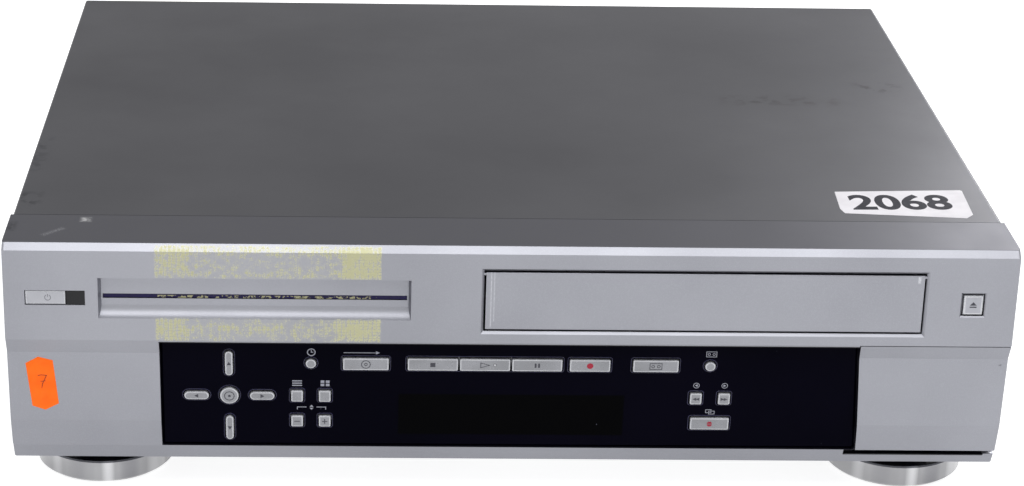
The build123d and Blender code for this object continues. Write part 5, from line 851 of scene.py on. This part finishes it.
def zinc_sheet(name, dull, bright, flower=12.0):
    """Galvanised sheet: crystals of zinc that differ in tone and sheen."""
    material, tree, shader, place = finish(
        name, (dull, bright), patch=80.0, grain=0.8, relief=0.008, rough=(0.34, 0.46), metallic=0.9
    )
    crystals = add(tree, "ShaderNodeTexVoronoi", Vector=place, Scale=1000 / flower)
    tone = add(tree, "ShaderNodeSeparateXYZ", Vector=crystals.outputs["Color"]).outputs[0]
    tone = add(tree, "ShaderNodeMapRange", i0=tone, i1=0.0, i2=1.0, i3=0.0, i4=0.4)
    paint_over(tree, shader, tone.outputs[0], linear(bright))
    return material, tree, shader, place


dress(zinc_sheet("galvanised_steel_tray", "#8E9092", "#A6A8AA")[0], "bottom_tray")
dress(zinc_sheet("galvanised_steel_brackets", "#94969A", "#ACAEB2", 9.0)[0], "disk_bracket")
dress(zinc_sheet("zinc_plated_steel_deck", "#9B9D9F", "#B4B6B8", 4.0)[0], "deck_chassis", "cassette_holder")
brushed = finish(
    "brushed_steel_carriage", ("#A9AAAD", "#B9BABD"), patch=20.0, grain=0.3, relief=0.008, metallic=1.0
)
dress(brushed[0], "cassette_carriage")
dress(zinc_sheet("painted_steel_back", "#86888B", "#97999C", 10.0)[0], "rear_panel")
blacked = finish(
    "black_zinc_screws",
    ("#37373A", "#48484C"),
    patch=2.0,
    grain=0.3,
    relief=0.01,
    rough=(0.3, 0.45),
    metallic=0.9,
)
dress(blacked[0], "cover_screws")

# Sockets: black moulded housings, with phono collars of yellow, white and red ABS round plated sleeves.
# The jacks behind the flap stand on their own small board.


def round_spot(tree, place, u, v, radius):
    """A mask that is 1 within a circle seen from the front."""
    away = add(tree, "ShaderNodeVectorMath", {"operation": "SUBTRACT"}, i0=place, i1=(u, 0.0, v))
    away = add(
        tree, "ShaderNodeVectorMath", {"operation": "MULTIPLY"}, i0=away.outputs[0], i1=(1.0, 0.0, 1.0)
    )
    away = add(tree, "ShaderNodeVectorMath", {"operation": "LENGTH"}, i0=away.outputs[0])
    inside = add(
        tree, "ShaderNodeMapRange", i0=away.outputs[1], i1=radius, i2=radius + 0.00005, i3=1.0, i4=0.0
    )
    return inside.outputs[0]


yellow, white, red, plated = "#D8B21C", "#D6D6D2", "#B3262C", "#A8A49A"
collar_radius = 0.0056
sleeve_radius = 0.0042
rear_jacks = ((69, 58, white), (69, 40, white), (87, 58, red), (87, 40, red))
front_jacks = ((165.5, 48, yellow), (178.5, 48, white), (191.5, 48, red))
for node, name, jacks, first, last in (
    ("rear_phono_sockets", "black_ABS_rear_jacks", rear_jacks, 0.1690, 0.1800),
    ("front_sockets", "black_ABS_front_jacks", front_jacks, -0.1700, -0.1500),
):
    material, tree, shader, place = finish(
        name, ("#1C1C1F", "#26262A"), patch=10.0, relief=0.01, rough=(0.35, 0.5)
    )
    outside = spot(tree, place, (-beyond, first, 0.0), (beyond, last, 0.2))
    for u, v, colour in jacks:
        collar = round_spot(tree, place, u / 1000, v / 1000, collar_radius)
        paint_over(tree, shader, (outside, collar), linear(colour))
        sleeve = round_spot(tree, place, u / 1000, v / 1000, sleeve_radius)
        paint_over(tree, shader, (outside, sleeve), linear(plated), 1.0)
    if node == "front_sockets":
        small_board = spot(tree, place, (0.15, front + 0.0356, 0.0), (0.22, front + 0.0374, 0.1))
        paint_over(tree, shader, small_board, linear("#2E5A3A"))
    dress(material, node)
scart = finish("black_PBT_scart_housings", ("#17171A", "#202024"), patch=9.0, relief=0.012, rough=(0.4, 0.55))
dress(scart[0], "scart_sockets")
material, tree, shader, place = finish(
    "black_nylon_mains_inlet", ("#151517", "#1E1E21"), patch=8.0, relief=0.01, rough=(0.4, 0.55)
)
for u in (-0.1943, -0.1857):
    pin = round_spot(tree, place, u, 0.0352, 0.0013)
    paint_over(tree, shader, pin, linear("#B08D4A"), 1.0)
dress(material, "mains_inlet")
tinned = finish(
    "tinned_steel_tuner_can", ("#B2B0A8", "#C4C2BA"), patch=16.0, grain=1.2, relief=0.01, rough=(0.25, 0.38),
    metallic=1.0,
)
dress(tinned[0], "tuner")

# Boards: glass-epoxy laminate with green solder mask, and brown paper laminate for the supply.
# Tracks 1 mm wide run under the mask, with black cases and sleeved capacitors standing on it.


def board(name, mask_tones, top, parts_tone):
    """Laminate below this height, and the cases of the parts above it."""
    material, tree, shader, place = finish(
        name, mask_tones, patch=25.0, grain=0.6, relief=0.01, rough=(0.3, 0.45)
    )
    tracks = add(
        tree, "ShaderNodeTexBrick", Vector=place, Color1=linear(mask_tones[0]), Color2=linear(mask_tones[1]),
        Mortar=linear("#7FA06A"), Mortar_Size=0.05, Scale=110.0,
    )
    laminate = spot(tree, place, (-beyond, -beyond, 0.0), (beyond, beyond, top))
    paint_over(tree, shader, laminate, tracks.outputs[0])
    parts = spot(tree, place, (-beyond, -beyond, top + 0.0001), (beyond, beyond, 0.2))
    paint_over(tree, shader, parts, linear(parts_tone))
    return material


board_top = 0.0277
dress(board("green_epoxy_main_board", ("#1E4A2E", "#265838"), board_top, "#1D1D20"), "main_board")
dress(
    board("brown_paper_laminate_supply_board", ("#7A5A36", "#87653F"), board_top, "#3A3226"), "power_supply"
)
key_board = finish("green_epoxy_key_board", ("#1E4A2E", "#285C3B"), patch=18.0, grain=0.6, relief=0.01)
dress(key_board[0], "front_board")

# Display tube: a flat vacuum tube of soda glass behind the window's clear field.
# Its segments stand in cells, dark while it is off.
material, tree, shader, place = finish(
    "soda_glass_display_tube", ("#151B1C", "#1E2627"), patch=15.0, relief=0.001, rough=(0.04, 0.08),
    Specular_IOR_Level=0.5,
)
cells = add(
    tree, "ShaderNodeTexBrick", Vector=place, Color1=linear("#2A3433"), Color2=linear("#232C2B"),
    Mortar=linear("#121616"), Scale=130.0,
)
segments = spot(tree, place, (-0.045, -0.2, 0.034), (0.048, 0.0, 0.049), 0.0005)
paint_over(tree, shader, segments, cells.outputs[0])
dress(material, "display_tube")

# Hard disk: a die-cast aluminium case with a drawn steel lid, screwed into its bracket.
# The place of its paper label is left bare.
material, tree, shader, place = finish(
    "die_cast_aluminium_disk", ("#5E6064", "#6C6E72"), patch=18.0, grain=0.5, relief=0.03, rough=(0.38, 0.5),
    metallic=0.9,
)
lid_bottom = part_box("hard_disk")[1][2] - 0.0015
lid = spot(tree, place, (-beyond, -beyond, lid_bottom), (beyond, beyond, 0.2), 0.0001)
paint_over(tree, shader, lid, linear("#A5A7AB"))
dress(material, "hard_disk")

# Ribbon cable: 40 wires side by side in grey PVC, from the disk to the main board.
# The grooves between its wires are painted as fine dark lines of shade.
wire_pitch = 0.00127
material, tree, shader, place = finish(
    "grey_PVC_ribbon", ("#8D9096", "#989BA1"), patch=20.0, relief=0.01, rough=(0.4, 0.5)
)
across = add(tree, "ShaderNodeSeparateXYZ", Vector=place).outputs[0]
# Painted shade: a fine dark line in each groove between the wires.
wires = add(tree, "ShaderNodeMath", {"operation": "PINGPONG"}, i0=across, i1=wire_pitch / 2)
wires = add(tree, "ShaderNodeMapRange", i0=wires.outputs[0], i1=0.0, i2=0.00022, i3=0.6, i4=0.0)
paint_over(tree, shader, wires.outputs[0], linear("#5B5E64"))
dress(material, "ribbon_cable")

# Fan: glass-filled PBT, matt black, screwed behind the grille in the back.
# Its rotor is smoother than its frame, where the fibres show as a dull grain.
fan_frame = finish(
    "black_PBT_fan_frame", ("#19191B", "#222225"), patch=10.0, grain=0.5, relief=0.03, rough=(0.5, 0.65)
)
dress(fan_frame[0], "fan_frame")
fan_blades = finish(
    "black_PBT_fan_blades", ("#1E1E21", "#28282B"), patch=8.0, grain=0.8, relief=0.01, rough=(0.35, 0.5)
)
dress(fan_blades[0], "fan_rotor")

# Reels, guides and pinch arm: the moving parts that carry the tape across the deck.
# The reels are grey POM, the guides steel pins on black POM, and the arm plated steel with a rubber roller.
reels = finish("grey_POM_reels", ("#6E7074", "#7C7E82"), patch=9.0, relief=0.008, rough=(0.35, 0.45))
dress(reels[0], "supply_reel", "take_up_reel")
material, tree, shader, place = finish(
    "steel_guide_pins", ("#B4B5B8", "#C4C5C8"), patch=6.0, relief=0.002, rough=(0.12, 0.2), metallic=1.0
)
black_base = spot(tree, place, (-beyond, -beyond, 0.0), (beyond, beyond, 0.0545))
paint_over(tree, shader, black_base, linear("#2B2B2E"), 0.0)
dress(material, "supply_guide", "take_up_guide")
material, tree, shader, place = finish(
    "plated_steel_pinch_arm", ("#A6A7AA", "#B5B6B9"), patch=8.0, relief=0.006, metallic=1.0
)
rubber_roller = spot(tree, place, (-beyond, -beyond, 0.0560), (beyond, beyond, 0.2))
paint_over(tree, shader, rubber_roller, linear("#1F1E1E"), 0.0)
dress(material, "pinch_arm")

# Head drum and capstan: turned metal, with fine rings from the tool 0.6 mm apart.
# The drum is aluminium, polished where the tape runs, and the capstan's flywheel is zinc-plated steel.
ring_pitch = 0.0006
for node, name, tones in (
    ("drum_base", "turned_aluminium_drum_base", ("#9A9CA0", "#AEB0B4")),
    ("drum_rotor", "polished_aluminium_drum", ("#B8BABE", "#CBCDD1")),
    ("capstan", "zinc_plated_flywheel", ("#8F9194", "#A3A5A8")),
):
    material, tree, shader, place = finish(
        name, tones, patch=14.0, grain=0.4, relief=0.003, rough=(0.18, 0.28), metallic=1.0
    )
    low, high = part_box(node)
    axis = ((low[0] + high[0]) / 2, (low[1] + high[1]) / 2, 0.0)
    rings = add(tree, "ShaderNodeVectorMath", {"operation": "SUBTRACT"}, i0=place, i1=axis)
    rings = add(
        tree, "ShaderNodeVectorMath", {"operation": "MULTIPLY"}, i0=rings.outputs[0], i1=(1.0, 1.0, 0.0)
    )
    rings = add(tree, "ShaderNodeVectorMath", {"operation": "LENGTH"}, i0=rings.outputs[0])
    rings = add(tree, "ShaderNodeMath", {"operation": "PINGPONG"}, i0=rings.outputs[1], i1=ring_pitch / 2)
    rings = add(tree, "ShaderNodeMapRange", i0=rings.outputs[0], i1=0.0, i2=ring_pitch / 2, i3=0.0, i4=0.3)
    paint_over(tree, shader, rings.outputs[0], linear("#77797D"))
    dress(material, node)
